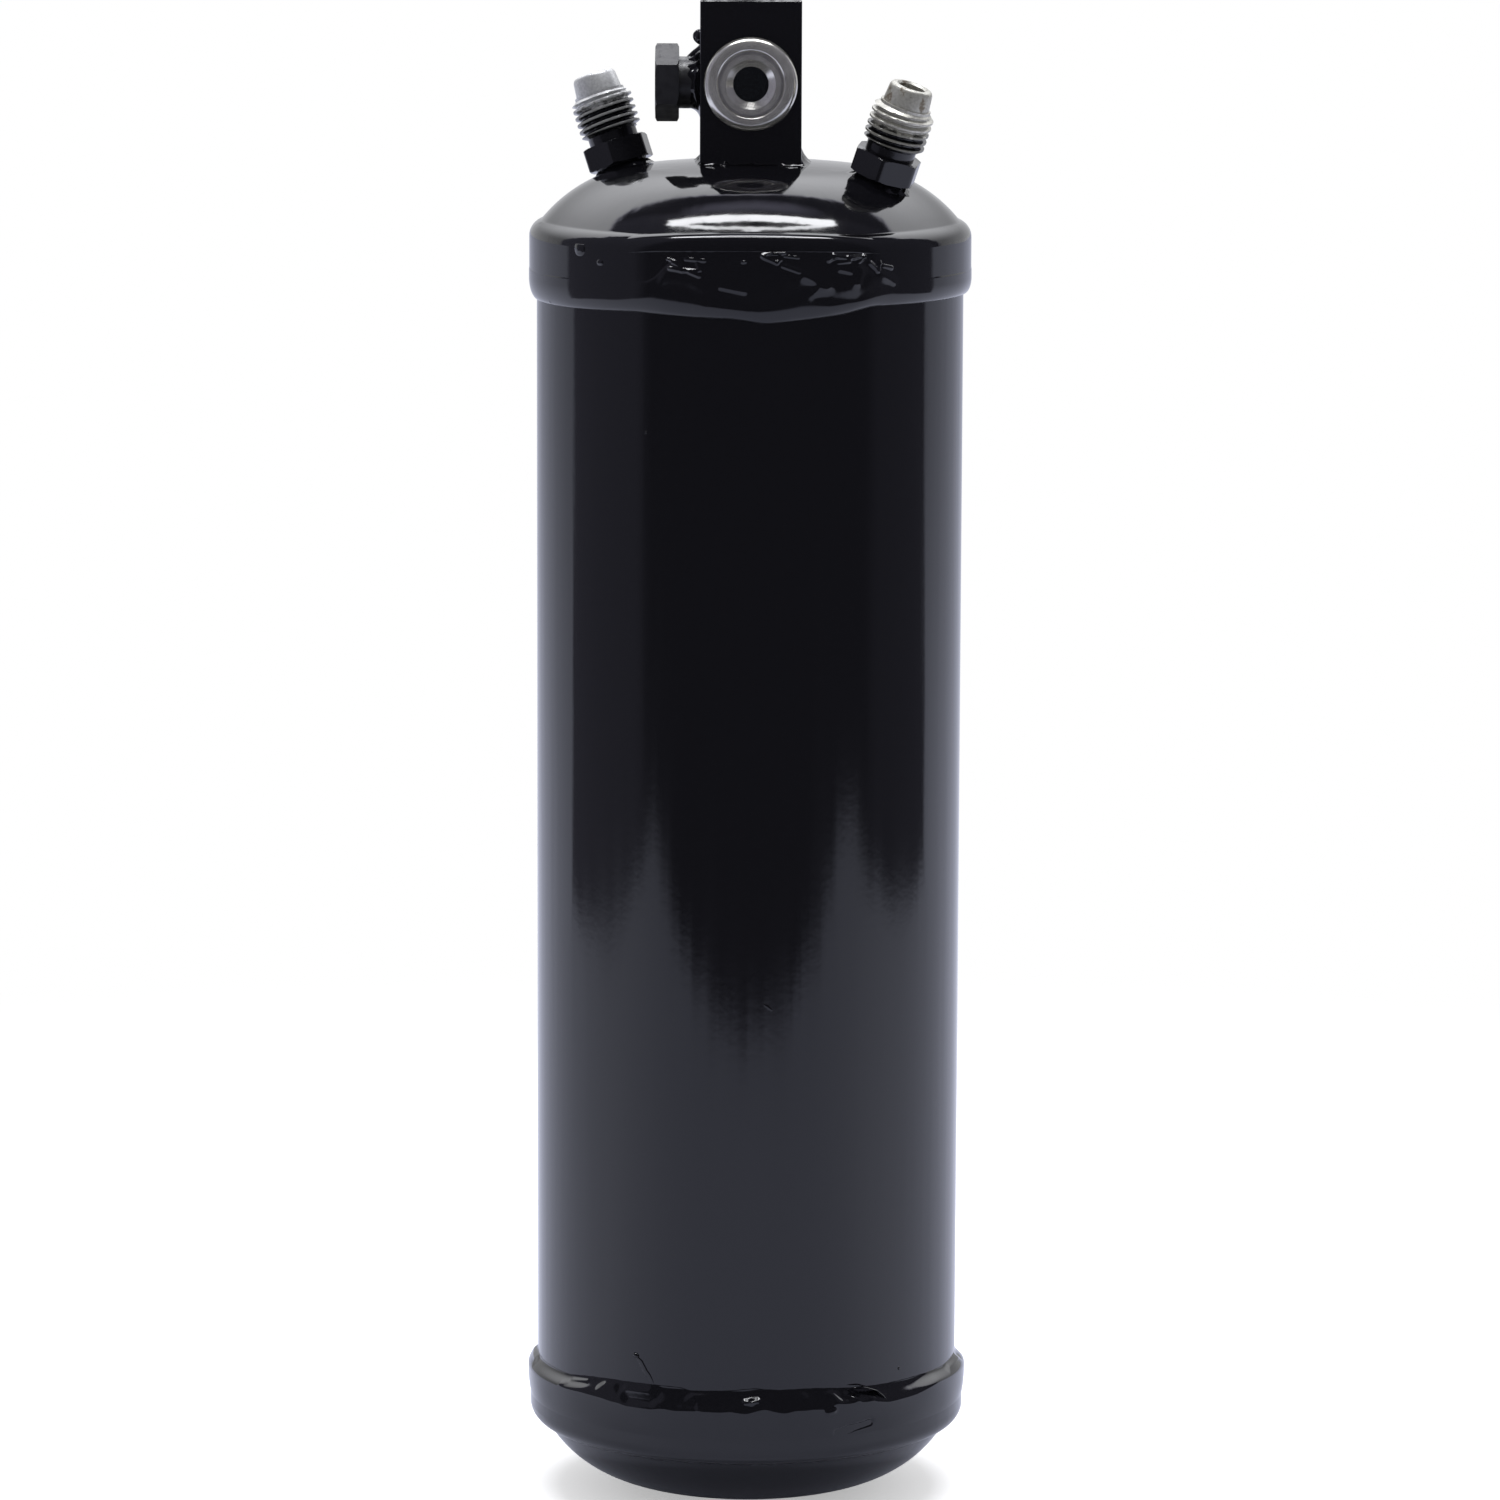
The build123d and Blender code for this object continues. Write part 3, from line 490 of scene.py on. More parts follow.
def ripple(azimuth, height, seed, waves, turns, rise, size):
    # Sum of cosine waves: whole turns round the axis, a random climb per millimetre, a random phase.
    # A piece's waves are their number, least and most turns, largest climb and size.
    rng = np.random.default_rng(seed)
    around = rng.integers(turns[0], turns[1], waves)
    climb = rng.uniform(-rise, rise, waves)
    phase = rng.uniform(0, 2 * np.pi, waves)
    total = np.zeros(np.broadcast(azimuth, height).shape)
    for n, k, p in zip(around, climb, phase):
        total = total + np.cos(azimuth * n + height * k + p)
    return size * total / math.sqrt(waves / 2)


def smooth(low, high, value):
    # An eased step: three t squared less two t cubed, where t is the share of the way from low to high.
    t = np.clip((value - low) / (high - low), 0, 1)
    return t * t * (3 - 2 * t)


def columnAngles(count, gather=0.4):
    # Angles round the axis from the front, set closer together in front: u less gather times sin u.
    u = np.linspace(-np.pi, np.pi, count, endpoint=False)
    return u - gather * np.sin(u)


def aroundCurve(azimuth, stops, values, soften=2.0):
    # Straight runs between the stops, closed round the circle, each value a mean over a few degrees.
    turn = np.degrees(azimuth)[:, None] + np.linspace(-soften, soften, 9)[None, :]
    return np.interp((turn + 180) % 360 - 180, stops, values).mean(1)


def segmentMask(azimuth, segments, soft=0.7):
    # One inside the given spans of degrees, nought outside, with soft ends.
    turn = np.degrees(azimuth)
    total = np.zeros(len(turn))
    for start, end in segments:
        inside = smooth(start - soft, start + soft, turn) * (1 - smooth(end - soft, end + soft, turn))
        total = np.maximum(total, inside)
    return total


def strokeRise(azimuth, height, radius, strokes):
    # Ridges along short lines: the rise falls off as a bell of the distance from the line.
    x = np.degrees(azimuth) * np.pi / 180 * radius
    total = np.zeros(np.broadcast(x, height).shape)
    for turnA, levelA, turnB, levelB, wide, rise in strokes:
        ax, bx = math.radians(turnA) * radius, math.radians(turnB) * radius
        dx, dz = bx - ax, levelB - levelA
        share = np.clip(((x - ax) * dx + (height - levelA) * dz) / (dx * dx + dz * dz + 1e-9), 0, 1)
        away = ((x - ax - share * dx) ** 2 + (height - levelA - share * dz) ** 2) / wide ** 2
        total = total + rise * np.exp(-away)
    return total


# Top seam: a smooth rolled lower lip on the tube, and a low lap of weld metal up the skirt in front.
topSeam = {
    "columns": 920, "rows": 96, "tube": 38.1, "skirt": 39.45, "end": 229.4,
    "lipStops": [-180, -140, -100, -81, -55, -31, -16, -4, 4, 12, 25, 34, 51, 78, 110, 150, 180],
    "lip": [217.8, 217.3, 217.9, 217.6, 217.7, 218.1, 217.6, 217.3, 216.5, 217.0, 217.9, 219.1, 219.0,
        218.9, 218.0, 217.5, 217.8],
    "crestStops": [-180, -130, -90, -53, -45, -35, -26, -20, -16, -12, -4, 1, 8, 12, 14, 17, 21, 28, 33,
        38, 59, 90, 140, 180],
    "crest": [221.4, 221.9, 221.3, 221.8, 221.8, 221.4, 222.1, 222.6, 222.1, 220.8, 220.0, 219.9, 220.9,
        221.9, 222.3, 221.2, 220.2, 220.3, 221.4, 222.4, 221.9, 221.6, 221.9, 221.4],
    "toeStops": [-180, -170, -150, -110, -95, -70, -26, -20, -12, -2, 3, 13, 25, 34, 42, 90, 100, 125,
        140, 180],
    "toe": [226.5, 224.6, 223.4, 224.0, 222.4, 222.4, 222.9, 227.3, 226.3, 227.8, 228.6, 227.0, 228.0,
        226.2, 223.0, 222.6, 225.5, 226.8, 224.2, 226.5],
    "lapThickness": 0.30, "toeWidth": 2.2, "reach": 39.95, "sunk": 0.12, "capRadius": 3.0,
    "capHeight": 228.75, "back": 221.95, "turnFrom": 226.5, "seed": 14, "waves": (10, (6, 26), 0.45, 0.022),
    # Short ridges where the arc left spatter on the lap: two ends as angle and height, width, rise.
    "strokes": [(-21.3, 227.7, -18.9, 227.3, 0.25, 0.28), (-20.7, 226.2, -17.3, 225.95, 0.34, 0.43),
        (-17.3, 225.95, -13.4, 225.8, 0.34, 0.45), (-19.9, 227.1, -17.8, 226.6, 0.28, 0.30),
        (-15.2, 225.6, -12.9, 225.0, 0.30, 0.38), (-16.5, 227.8, -11.6, 227.6, 0.28, 0.19),
        (-13.4, 227.0, -12.6, 226.0, 0.28, 0.30), (-1.9, 227.5, -1.3, 227.55, 0.28, 0.33),
        (2.9, 228.6, 5.4, 229.1, 0.30, 0.38), (5.4, 229.1, 8.7, 229.0, 0.28, 0.35),
        (3.4, 228.3, 6.7, 227.4, 0.32, 0.40), (6.7, 227.4, 7.7, 227.9, 0.28, 0.33),
        (8.2, 226.9, 12.3, 225.9, 0.34, 0.43), (8.5, 228.5, 12.2, 228.2, 0.23, 0.15),
        (20.1, 227.7, 21.4, 228.3, 0.39, 0.47), (21.4, 228.3, 25.5, 227.95, 0.39, 0.53),
        (25.5, 227.95, 30.1, 228.1, 0.34, 0.47), (22.5, 227.2, 25.8, 227.3, 0.30, 0.28),
        (28.6, 227.2, 30.3, 228.1, 0.30, 0.35), (31.8, 226.9, 34.0, 225.6, 0.34, 0.43),
        (34.0, 225.6, 34.9, 226.8, 0.32, 0.38), (35.8, 226.2, 38.7, 225.8, 0.32, 0.25),
        (-42.0, 226.4, -41.2, 226.4, 0.40, 0.20), (-49.4, 228.5, -48.9, 228.5, 0.86, 0.30),
        (23.0, 226.3, 28.4, 225.6, 0.8, 0.20), (28.4, 225.6, 27.8, 223.8, 0.8, 0.20),
        (14.0, 225.2, 19.5, 223.2, 1.0, 0.22), (19.5, 223.2, 15.6, 221.8, 0.9, 0.16),
        (-7.3, 223.2, -1.5, 222.4, 0.5, 0.13), (35.2, 225.2, 39.5, 223.4, 0.8, 0.20),
        (-66.1, 217.9, -65.8, 217.9, 0.3, 0.25)],
}


def topSeamPoints(s):
    # Height runs up each column; radius is a quarter ellipse from the tube out to the crest, then the
    # skirt plus a lap that thins to its toe, with long low waves and the short ridges on top.
    azimuth = columnAngles(s["columns"])
    lip = aroundCurve(azimuth, s["lipStops"], s["lip"])
    crest = aroundCurve(azimuth, s["crestStops"], s["crest"], 1.0)
    toe = aroundCurve(azimuth, s["toeStops"], s["toe"])
    share = np.linspace(0, 1, s["rows"])[:, None]
    height = lip + (s["end"] - lip) * share
    roll = np.clip((crest - height) / (crest - lip), 0, 1)
    lapped = smooth(1.0, 3.0, toe - crest)
    lap = s["lapThickness"] * lapped * smooth(-0.5, 3.0, height - crest)
    fade = 1 - smooth(-s["toeWidth"], s["toeWidth"] * 0.5, height - toe)
    radius = s["tube"] - 0.03 + (s["skirt"] - s["tube"] + 0.05) * np.sqrt(1 - roll ** 2) + lap * fade
    onWeld = smooth(0.0, 0.8, height - lip)
    radius = radius + ripple(azimuth, height, s["seed"], *s["waves"]) * onWeld
    strokes = strokeRise(azimuth, height, s["skirt"], s["strokes"])
    radius = np.minimum(radius + strokes * onWeld, s["reach"])
    overTurn = np.clip(height - s["capHeight"], 0, None)
    wall = s["skirt"] - s["capRadius"] + np.sqrt(s["capRadius"] ** 2 - overTurn ** 2)
    radius = np.where(height > s["turnFrom"], np.minimum(radius, wall + (radius - s["skirt"])), radius)
    # Above its toe the lap sinks under the skirt, apart from the ridges.
    radius = radius - s["sunk"] * smooth(0.3, 1.2, height - toe) * (1 - smooth(0.02, 0.06, strokes))
    radius = np.where(share == 1, wall - 0.15, radius)
    inner = [(s["skirt"] - 0.35, s["end"]), (s["skirt"] - 0.35, s["back"]), (s["tube"] - 0.1, s["back"])]
    radius = np.concatenate([radius, *[evenRow(azimuth, r) for r, _ in inner + inner[-1:]]])
    height = np.concatenate([height, *[evenRow(azimuth, z) for _, z in inner], [lip]])
    return np.stack([radius * np.sin(azimuth), -radius * np.cos(azimuth), height], -1)


addGrid("top_seam_weld", topSeamPoints(topSeam), weldEnamel, ("top_weld_bead",))

# Shoulder of the top cap: in front the skirt stands a little higher and turns in more tightly; to both
# sides this rim falls and sinks into the cap's own round.
shoulder = {
    "columns": 720, "samples": 16, "skirt": 39.45, "over": 0.03, "turnRadius": 2.6, "turnHeight": 229.95,
    "edge": [(36.3, 232.3), (36.6, 232.5)], "foot": 229.1, "back": (36.4, 230.9),
    "capRadius": 3.0, "capHeight": 228.75, "sunk": 0.08,
    "capEdge": [(36.3, 231.4), (36.5, 231.5)], "capFoot": 228.6, "capBack": (36.4, 230.4),
    "fall": 0.158, "fadeStart": 30.0, "fadeEnd": 50.0,
}


def quarterTurn(centre, height, radius, turn):
    # Points on a quarter circle, as radius from the canister's axis and height.
    return [(centre + radius * math.cos(t), height + radius * math.sin(t)) for t in turn]


def shoulderPoints(s):
    # In front an edge, a quarter turn and a wall; at the sides the cap's own round, a little sunk. A share
    # by angle mixes the two, and the front falls by that share of one less the cosine of the angle.
    azimuth = columnAngles(s["columns"])
    turn = np.linspace(np.pi / 2, 0, s["samples"])
    wall = s["skirt"] + s["over"]
    front = quarterTurn(wall - s["turnRadius"], s["turnHeight"], s["turnRadius"], turn)
    front = s["edge"] + front + [(wall, s["foot"] + 0.5), (wall - 0.12, s["foot"]), (wall - 1.2, s["foot"])]
    front = np.array(front + [s["back"]])
    own = s["capRadius"] - s["sunk"]
    wall = s["skirt"] - s["sunk"]
    side = quarterTurn(s["skirt"] - s["capRadius"], s["capHeight"], own, turn)
    side = s["capEdge"] + side + [(wall, s["capFoot"] + 0.1), (wall - 0.1, s["capFoot"])]
    side = np.array(side + [(38.0, s["capFoot"]), s["capBack"]])
    share = (1 - smooth(s["fadeStart"], s["fadeEnd"], np.abs(np.degrees(azimuth))))[None, :, None]
    profile = side[:, None] + share * (front - side)[:, None]
    radius, height = profile[..., 0], profile[..., 1]
    height = height - s["fall"] * s["skirt"] * (1 - np.cos(azimuth)) * share[..., 0]
    return np.stack([radius * np.sin(azimuth), -radius * np.cos(azimuth), height], -1)


addGrid("cap_shoulder", shoulderPoints(shoulder), enamel)

# Bottom seam: the weld slopes out from the tube to its crest, steep only in places, then laps the skirt.
bottomSeam = {
    "columns": 920, "rows": 92, "tube": 38.1, "skirt": 39.45, "foot": 17.4,
    "headStops": [-180, -130, -84, -57, -47, -39, -25, -18, -15, -5, 2, 8, 18, 31, 40, 54, 69, 81, 120,
        150, 180],
    "head": [25.6, 26.1, 25.2, 25.3, 26.2, 26.6, 26.8, 26.8, 26.3, 26.6, 27.1, 26.7, 26.7, 26.0, 25.8,
        25.7, 25.4, 25.6, 25.4, 26.2, 25.6],
    "crestStops": [-180, -120, -75, -57, -48, -41, -37, -24, -14, -4, 0, 5, 10, 13, 21, 24, 35, 40, 50,
        61, 100, 140, 180],
    "crest": [22.6, 22.2, 22.6, 22.8, 23.1, 22.9, 22.5, 22.5, 22.9, 22.9, 22.4, 23.4, 22.6, 23.1, 22.7,
        23.7, 23.2, 22.4, 22.6, 23.5, 22.4, 22.8, 22.6],
    "upperSteep": [(-150, -128), (-95, -80), (-42.3, -36.4), (-35.0, -24.7), (-15.7, -5.4), (5.5, 7.8),
        (10.2, 16.4), (19.0, 24.3), (70, 84), (112, 140), (165, 178)],
    "lowerSteep": [(-140, -118), (-34.0, -24.2), (-20.0, -5.3), (5.6, 16.3), (24.7, 28.7), (95, 108),
        (150, 170)],
    "crown": 39.86, "steps": (0.44, 0.18, 0.38), "gentle": 0.85, "steeper": 0.50, "ends": 1.8,
    "leanIn": 2.2, "back": 20.7, "seed": 24, "waves": (10, (6, 26), 0.5, 0.025),
    # Marks on it: two ends as angle and height, width, rise. A negative rise is a gouge.
    "strokes": [(24.4, 18.6, 27.9, 19.0, 0.55, -0.46), (27.9, 19.0, 34.0, 19.6, 0.55, -0.50),
        (-0.3, 24.75, 1.4, 24.7, 0.5, 0.42), (1.4, 24.9, 3.1, 25.0, 0.45, 0.40),
        (21.6, 22.3, 23.0, 22.5, 0.5, 0.36), (-12.5, 24.1, -12.3, 23.2, 0.4, 0.22),
        (30.0, 25.4, 35.0, 24.2, 0.5, 0.18), (27.0, 25.0, 30.5, 24.2, 0.5, 0.16),
        (-54.1, 24.7, -47.6, 25.3, 0.30, 0.16), (-58.0, 23.6, -55.0, 24.2, 0.4, 0.16)],
}


def bottomSeamPoints(s):
    # Radius grows downward from the tube by three smooth steps, narrow where the weld is steep, to the
    # crest, and then leans back in to the skirt.
    azimuth = columnAngles(s["columns"])
    head = aroundCurve(azimuth, s["headStops"], s["head"], 1.0)
    crest = aroundCurve(azimuth, s["crestStops"], s["crest"], 1.0)
    upper = s["gentle"] - s["steeper"] * segmentMask(azimuth, s["upperSteep"], s["ends"])
    lower = s["gentle"] - s["steeper"] * segmentMask(azimuth, s["lowerSteep"], s["ends"])
    share = np.linspace(0, 1, s["rows"])[:, None]
    height = head + (s["foot"] - head) * share
    down = (head - height) / (head - crest)
    out = s["crown"] - s["tube"]
    first, second, third = s["steps"]
    grown = first * smooth(-0.02, upper, down) + second * smooth(0.1, 0.95, down)
    grown = grown + third * smooth(1.0 - lower, 1.0, down)
    below = np.clip((crest - height) / (crest - s["foot"]), 0, 1)
    radius = s["tube"] + out * grown - (s["crown"] - s["skirt"] + 0.06) * below ** s["leanIn"]
    onWeld = smooth(0.0, 0.3, down) * (1 - below ** 2)
    radius = radius + ripple(azimuth, height, s["seed"], *s["waves"]) * onWeld
    radius = radius + strokeRise(azimuth, height, s["skirt"], s["strokes"])
    radius = np.where(share == 0, s["tube"] - 0.05, radius)
    radius = np.where(share == 1, s["skirt"] - 0.08, radius)
    inner = [(s["skirt"] - 0.6, s["foot"]), (s["skirt"] - 0.6, s["back"]), (s["tube"] - 0.1, s["back"])]
    radius = np.concatenate([radius, *[evenRow(azimuth, r) for r, _ in inner + inner[-1:]]])
    height = np.concatenate([height, *[evenRow(azimuth, z) for _, z in inner], [head]])
    return np.stack([radius * np.sin(azimuth), -radius * np.cos(azimuth), height], -1)


addGrid("bottom_seam_weld", bottomSeamPoints(bottomSeam), weldEnamel, ("bottom_weld_bead",))

# Small marks of paint and spatter, each a tapered ridge over the wall it lies on.
# Radius of the wall, stops as angle and height, half width, rise.
marks = {
    "nib": (38.1, [(-28.7, 197.06), (-27.9, 197.06)], 0.26, 0.22),
    "sag": (38.1, [(4.2, 96.5), (5.4, 95.9), (6.6, 95.2)], 0.32, 0.16),
    "runHead": (38.15, [(-31.9, 31.9), (-30.2, 31.3)], 0.45, 0.34),
    "run": (38.1, [(-31.0, 31.4), (-29.6, 30.6), (-28.2, 29.0), (-27.1, 28.2), (-25.6, 26.6)], 0.5, 0.10),
    "hair": (39.15, [(28.7, 26.3), (32.5, 26.1), (36.1, 25.2), (38.6, 23.8), (40.9, 21.4), (40.4, 20.4),
                     (38.5, 19.6)], 0.18, 0.60),
    "nibLow": (38.1, [(45.5, 27.9), (46.2, 27.9)], 0.3, 0.2),
}


markGrid = (26, 12)  # ovals along a mark, points round each


def ridge(wall, stops, halfWidth, rise):
    # An oval carried along a line on the wall. Its size is the square root of a parabola, so both ends
    # close.
    samples, columns = markGrid
    share = np.linspace(0, 1, samples + 2)
    legs = np.linspace(0, 1, len(stops))
    turn = np.radians(np.interp(share, legs, [a for a, _ in stops]))
    height = np.interp(share, legs, [z for _, z in stops])
    centre = np.stack([wall * np.sin(turn), -wall * np.cos(turn), height], -1)
    outward = np.stack([np.sin(turn), -np.cos(turn), 0 * turn], -1)
    tangent = np.gradient(centre, axis=0)
    across = np.cross(tangent, outward)
    across /= np.linalg.norm(across, axis=1)[:, None]
    size = np.sqrt(np.clip(4 * share * (1 - share), 0, 1))[1:-1, None, None]
    angle = np.linspace(0, 2 * np.pi, columns, endpoint=False)[None, :, None]
    inner = centre[1:-1, None] + size * (halfWidth * np.cos(angle) * across[1:-1, None]
                                         + rise * np.sin(angle) * outward[1:-1, None])
    return np.concatenate([inner.reshape(-1, 3), centre[:1], centre[-1:]])


points = [ridge(*mark) for mark in marks.values()]
each = len(points[0])
faces = [[i + each * n for i in face] for n in range(len(points)) for face in cappedFaces(*markGrid)]
addPiece("paint_marks", np.concatenate(points), faces, weldEnamel)

# Flare fittings with a cut thread. Stations run along the fitting's own axis from the dome.
flare = {
    "radius": 26.0, "drop": 2.5651, "apex": 242.25, "lean": 20.2074, "columns": 180,
    "spigot": 4.0, "depth": 3.0, "collar": 4.6, "hex": 11.11, "hexTurn": 20.0,
    "hexStart": 0.75, "hexEnd": 5.0, "chamfer": 0.6, "blunt": 0.16, "neck": 4.45,
    "threadStart": 6.6, "threadEnd": 13.8, "step": 0.09,
    "major": 5.55, "root": 4.72, "pitch": 1.27, "crestFlat": 1.35, "rootFlat": 0.12, "flank": 0.85,
    "runIn": 1.8, "runOut": 1.4, "relief": 4.55,
    "noseStart": 14.3, "nose": 4.2, "noseTip": 3.85, "tip": 17.8, "round": 0.7, "bore": 2.43, "mouth": 0.35,
}
fittings = {
    "inlet": {"azimuth": 152.0, "bareFrom": 12.0, "wear": 0.35, "bloomFrom": 0.66, "seed": 31,
              "steelLow": "#a2a3a4", "steelHigh": "#dcdddd"},
    "outlet": {"azimuth": -28.0, "bareFrom": 10.4, "wear": 0.3, "bloomFrom": 0.49, "seed": 32,
               "steelLow": "#929088", "steelHigh": "#cccbc4"},
}


def flarePoints(s):
    # Radius over angle and station: a spigot, a collar, a six-sided band cut by end cones, then a cosine
    # thread whose phase is station over pitch less angle over a full turn, a tapered nose and the bore.
    angle = np.linspace(0, 2 * np.pi, s["columns"], endpoint=False)
    sector = np.pi / 3
    fromFlat = np.mod(angle - math.radians(s["hexTurn"]), sector) - sector / 2
    corner = s["hex"] / 2 / math.cos(sector / 2)
    hexRadius = np.minimum(s["hex"] / 2 / np.cos(fromFlat), corner - s["blunt"])
    stations, rows = [], []

    def addRow(station, radius):
        stations.append(station)
        rows.append(np.broadcast_to(np.asarray(radius, float), angle.shape))

    for station, radius in ((-s["depth"], s["spigot"]), (-0.02, s["spigot"]), (0.0, s["collar"]),
                            (s["hexStart"], s["collar"])):
        addRow(station, radius)
    half = s["chamfer"] / 2
    for share in np.linspace(0, 1, 5):
        addRow(s["hexStart"] + half * share, np.minimum(hexRadius, corner - s["chamfer"] * (1 - share)))
    for share in np.linspace(0, 1, 5):
        addRow(s["hexEnd"] - half * (1 - share), np.minimum(hexRadius, corner - s["chamfer"] * share))
    addRow(s["hexEnd"], s["neck"])
    addRow(s["threadStart"], s["neck"])
    for station in np.arange(s["threadStart"] + s["step"], s["threadEnd"] - 0.05, s["step"]):
        wave = 0.5 + 0.5 * np.cos(2 * np.pi * (station / s["pitch"] - angle / (2 * np.pi)))
        shape = np.clip(s["crestFlat"] * wave - s["rootFlat"], 0, 1) ** s["flank"]
        cut = s["root"] + (s["major"] - s["root"]) * shape
        runIn = s["neck"] + (station - s["threadStart"]) * s["runIn"]
        runOut = s["relief"] + (s["threadEnd"] - station) * s["runOut"]
        addRow(station, np.minimum(cut, min(runIn, runOut)))
    for station, radius in ((s["threadEnd"], s["relief"]), (s["noseStart"], s["relief"]),
                            (s["noseStart"], s["nose"]), (s["tip"] - s["round"], s["noseTip"] + 0.06)):
        addRow(station, radius)
    for turn in np.radians(np.linspace(15, 90, 6)):
        back, inward = s["round"] * (1 - math.sin(turn)), s["round"] * (1 - math.cos(turn))
        addRow(s["tip"] - back, s["noseTip"] - inward)
    for station, radius in ((s["tip"], s["bore"] + s["mouth"]), (s["tip"] - 0.3, s["bore"]),
                            (-s["depth"], s["bore"])):
        addRow(station, radius)
    station, radius = np.array(stations)[:, None] * np.ones(len(angle)), np.array(rows)
    return np.stack([radius * np.cos(angle), radius * np.sin(angle), station], -1)


# Weld ring round each fitting's foot: uneven, a little hollow, and sunk into the dome.
footRing = {
    "columns": 144, "rows": 14, "neck": 4.5, "reach": 1.45, "climb": 0.78, "hollow": 0.8, "sunk": 0.12,
    "inside": 3.9, "under": 0.5, "meridian": 26.2, "parallel": 75.0,
    "reachWaves": (7, (2, 11), 0.0, 0.22), "climbWaves": (6, (2, 9), 0.0, 0.06),
    "lumpWaves": (9, (5, 26), 1.0, 0.05),
}


def footRingPoints(s, seed, outwardAngle):
    # Round the fitting's axis, a hollow quarter arc from the collar down to the dome, whose own fall is
    # the square of the distance over twice its radius of curvature in each direction.
    angle = np.linspace(-np.pi, np.pi, s["columns"], endpoint=False)
    reach = s["reach"] + ripple(angle, 0.0, seed, *s["reachWaves"])
    climb = s["climb"] + ripple(angle, 0.0, seed + 10, *s["climbWaves"])
    quarter = np.linspace(0, np.pi / 2, s["rows"])[:, None]
    radius = s["neck"] + reach * (1 - np.cos(quarter)) ** s["hollow"]
    lift = climb * (1 - np.sin(quarter)) ** s["hollow"]
    lumps = ripple(angle, radius * 3.0, seed + 20, *s["lumpWaves"]) * np.sin(2 * quarter)
    radius = np.concatenate([radius + lumps, [radius[-1] - 0.3], *[evenRow(angle, s["inside"])] * 2])
    lift = np.concatenate([lift + lumps, *[evenRow(angle, -s["under"])] * 2, [climb]])
    along, across = radius * np.cos(angle - outwardAngle), radius * np.sin(angle - outwardAngle)
    fall = along ** 2 / (2 * s["meridian"]) + across ** 2 / (2 * s["parallel"])
    onDome = np.clip((radius - s["neck"]) / reach, 0, 1)
    lift = lift - (fall + s["sunk"]) * onDome
    return np.stack([radius * np.cos(angle), radius * np.sin(angle), lift], -1)


for name, own in fittings.items():
    turn, lean = math.radians(own["azimuth"]), math.radians(flare["lean"])
    axis = np.array([math.sin(lean) * math.cos(turn), math.sin(lean) * math.sin(turn), math.cos(lean)])
    origin = np.array([flare["radius"] * math.cos(turn), flare["radius"] * math.sin(turn),
                       flare["apex"] - flare["drop"]])
    across = np.array([1.0, 0, 0]) - axis[0] * axis
    across /= np.linalg.norm(across)
    frameAxes = np.array([across, np.cross(axis, across), axis])
    points = flarePoints(flare) @ frameAxes + origin
    steel = threadedSteel(name + " fitting, turned steel part enamelled", origin, axis, threadFinish, own)
    addGrid(name + "_flare", points, steel, (name + "_fitting",), sharp=32)
    downhill = frameAxes @ np.array([math.cos(turn), math.sin(turn), 0.0])
    points = footRingPoints(footRing, own["seed"], math.atan2(downhill[1], downhill[0]))
    addGrid(name + "_foot_weld", points @ frameAxes + origin, weldEnamel,
            (name + "_fitting_weld",))

# Weld round the head block's foot: low in front, heavy and hollow on the right.
blockFoot = {
    "columns": 400, "rows": 12, "half": 9.0, "corner": 1.372, "power": 12, "crown": 177.5, "apex": 242.25,
    "inside": 0.8, "under": 0.6, "hollow": 0.8,
    "seed": 41, "edgeWaves": (8, (6, 34), 0.0, 0.09), "lumpWaves": (9, (12, 60), 1.0, 0.05),
    # Degrees round the block from the front, first to the left: climb and reach of the weld.
    "stops": [-180, -135, -110, -90, -70, -50, -40, -34, -28, 0, 28, 34, 44, 52, 70, 90, 115, 135, 180],
    "climb": [1.2, 1.0, 1.2, 1.0, 1.1, 0.9, 1.0, 1.1, 0.7, 0.55, 0.7, 1.1, 1.2, 2.4, 3.0, 2.8, 2.4, 1.4,
        1.2],
    "reach": [1.4, 1.2, 1.4, 1.0, 1.0, 0.8, 0.9, 1.0, 0.6, 0.5, 0.6, 1.0, 1.1, 1.6, 1.9, 1.9, 1.8, 1.3,
        1.4],
}


def blockFootPoints(s):
    # Round a square with rounded corners, a hollow quarter arc from the block's wall down to the dome. The
    # square is a superellipse: half over the root of the sum of the two cosines raised to a high power.
    angle = np.linspace(-np.pi, np.pi, s["columns"], endpoint=False)
    climb = aroundCurve(angle, s["stops"], s["climb"])
    climb = climb + ripple(angle, 0.0, s["seed"], *s["edgeWaves"])
    reach = aroundCurve(angle, s["stops"], s["reach"])
    reach = reach + ripple(angle, 0.0, s["seed"] + 1, *s["edgeWaves"])
    ux, uy, power = np.sin(angle), -np.cos(angle), s["power"]
    square = (s["half"] ** power / (np.abs(ux) ** power + np.abs(uy) ** power)) ** (1 / power)
    square = np.minimum(square, s["half"] * s["corner"])
    quarter = np.linspace(0, np.pi / 2, s["rows"])[:, None]
    away = reach * (1 - np.cos(quarter)) ** s["hollow"]
    lift = climb * (1 - np.sin(quarter)) ** s["hollow"]
    lumps = ripple(angle, quarter * 2.0, s["seed"] + 2, *s["lumpWaves"]) * np.sin(2 * quarter)
    away = np.concatenate([away + lumps - 0.04, [reach - 0.3], *[evenRow(angle, -s["inside"])] * 2])
    lift = np.concatenate([lift + lumps - 0.03, *[evenRow(angle, -s["under"])] * 2, [climb * 0.9]])
    x, y = (square + away) * ux, (square + away) * uy
    dome = s["apex"] - (s["crown"] - np.sqrt(s["crown"] ** 2 - x ** 2 - y ** 2))
    return np.stack([x, y, dome + lift], -1)


addGrid("block_foot_weld", blockFootPoints(blockFoot), weldEnamel, ("head_block_weld",))

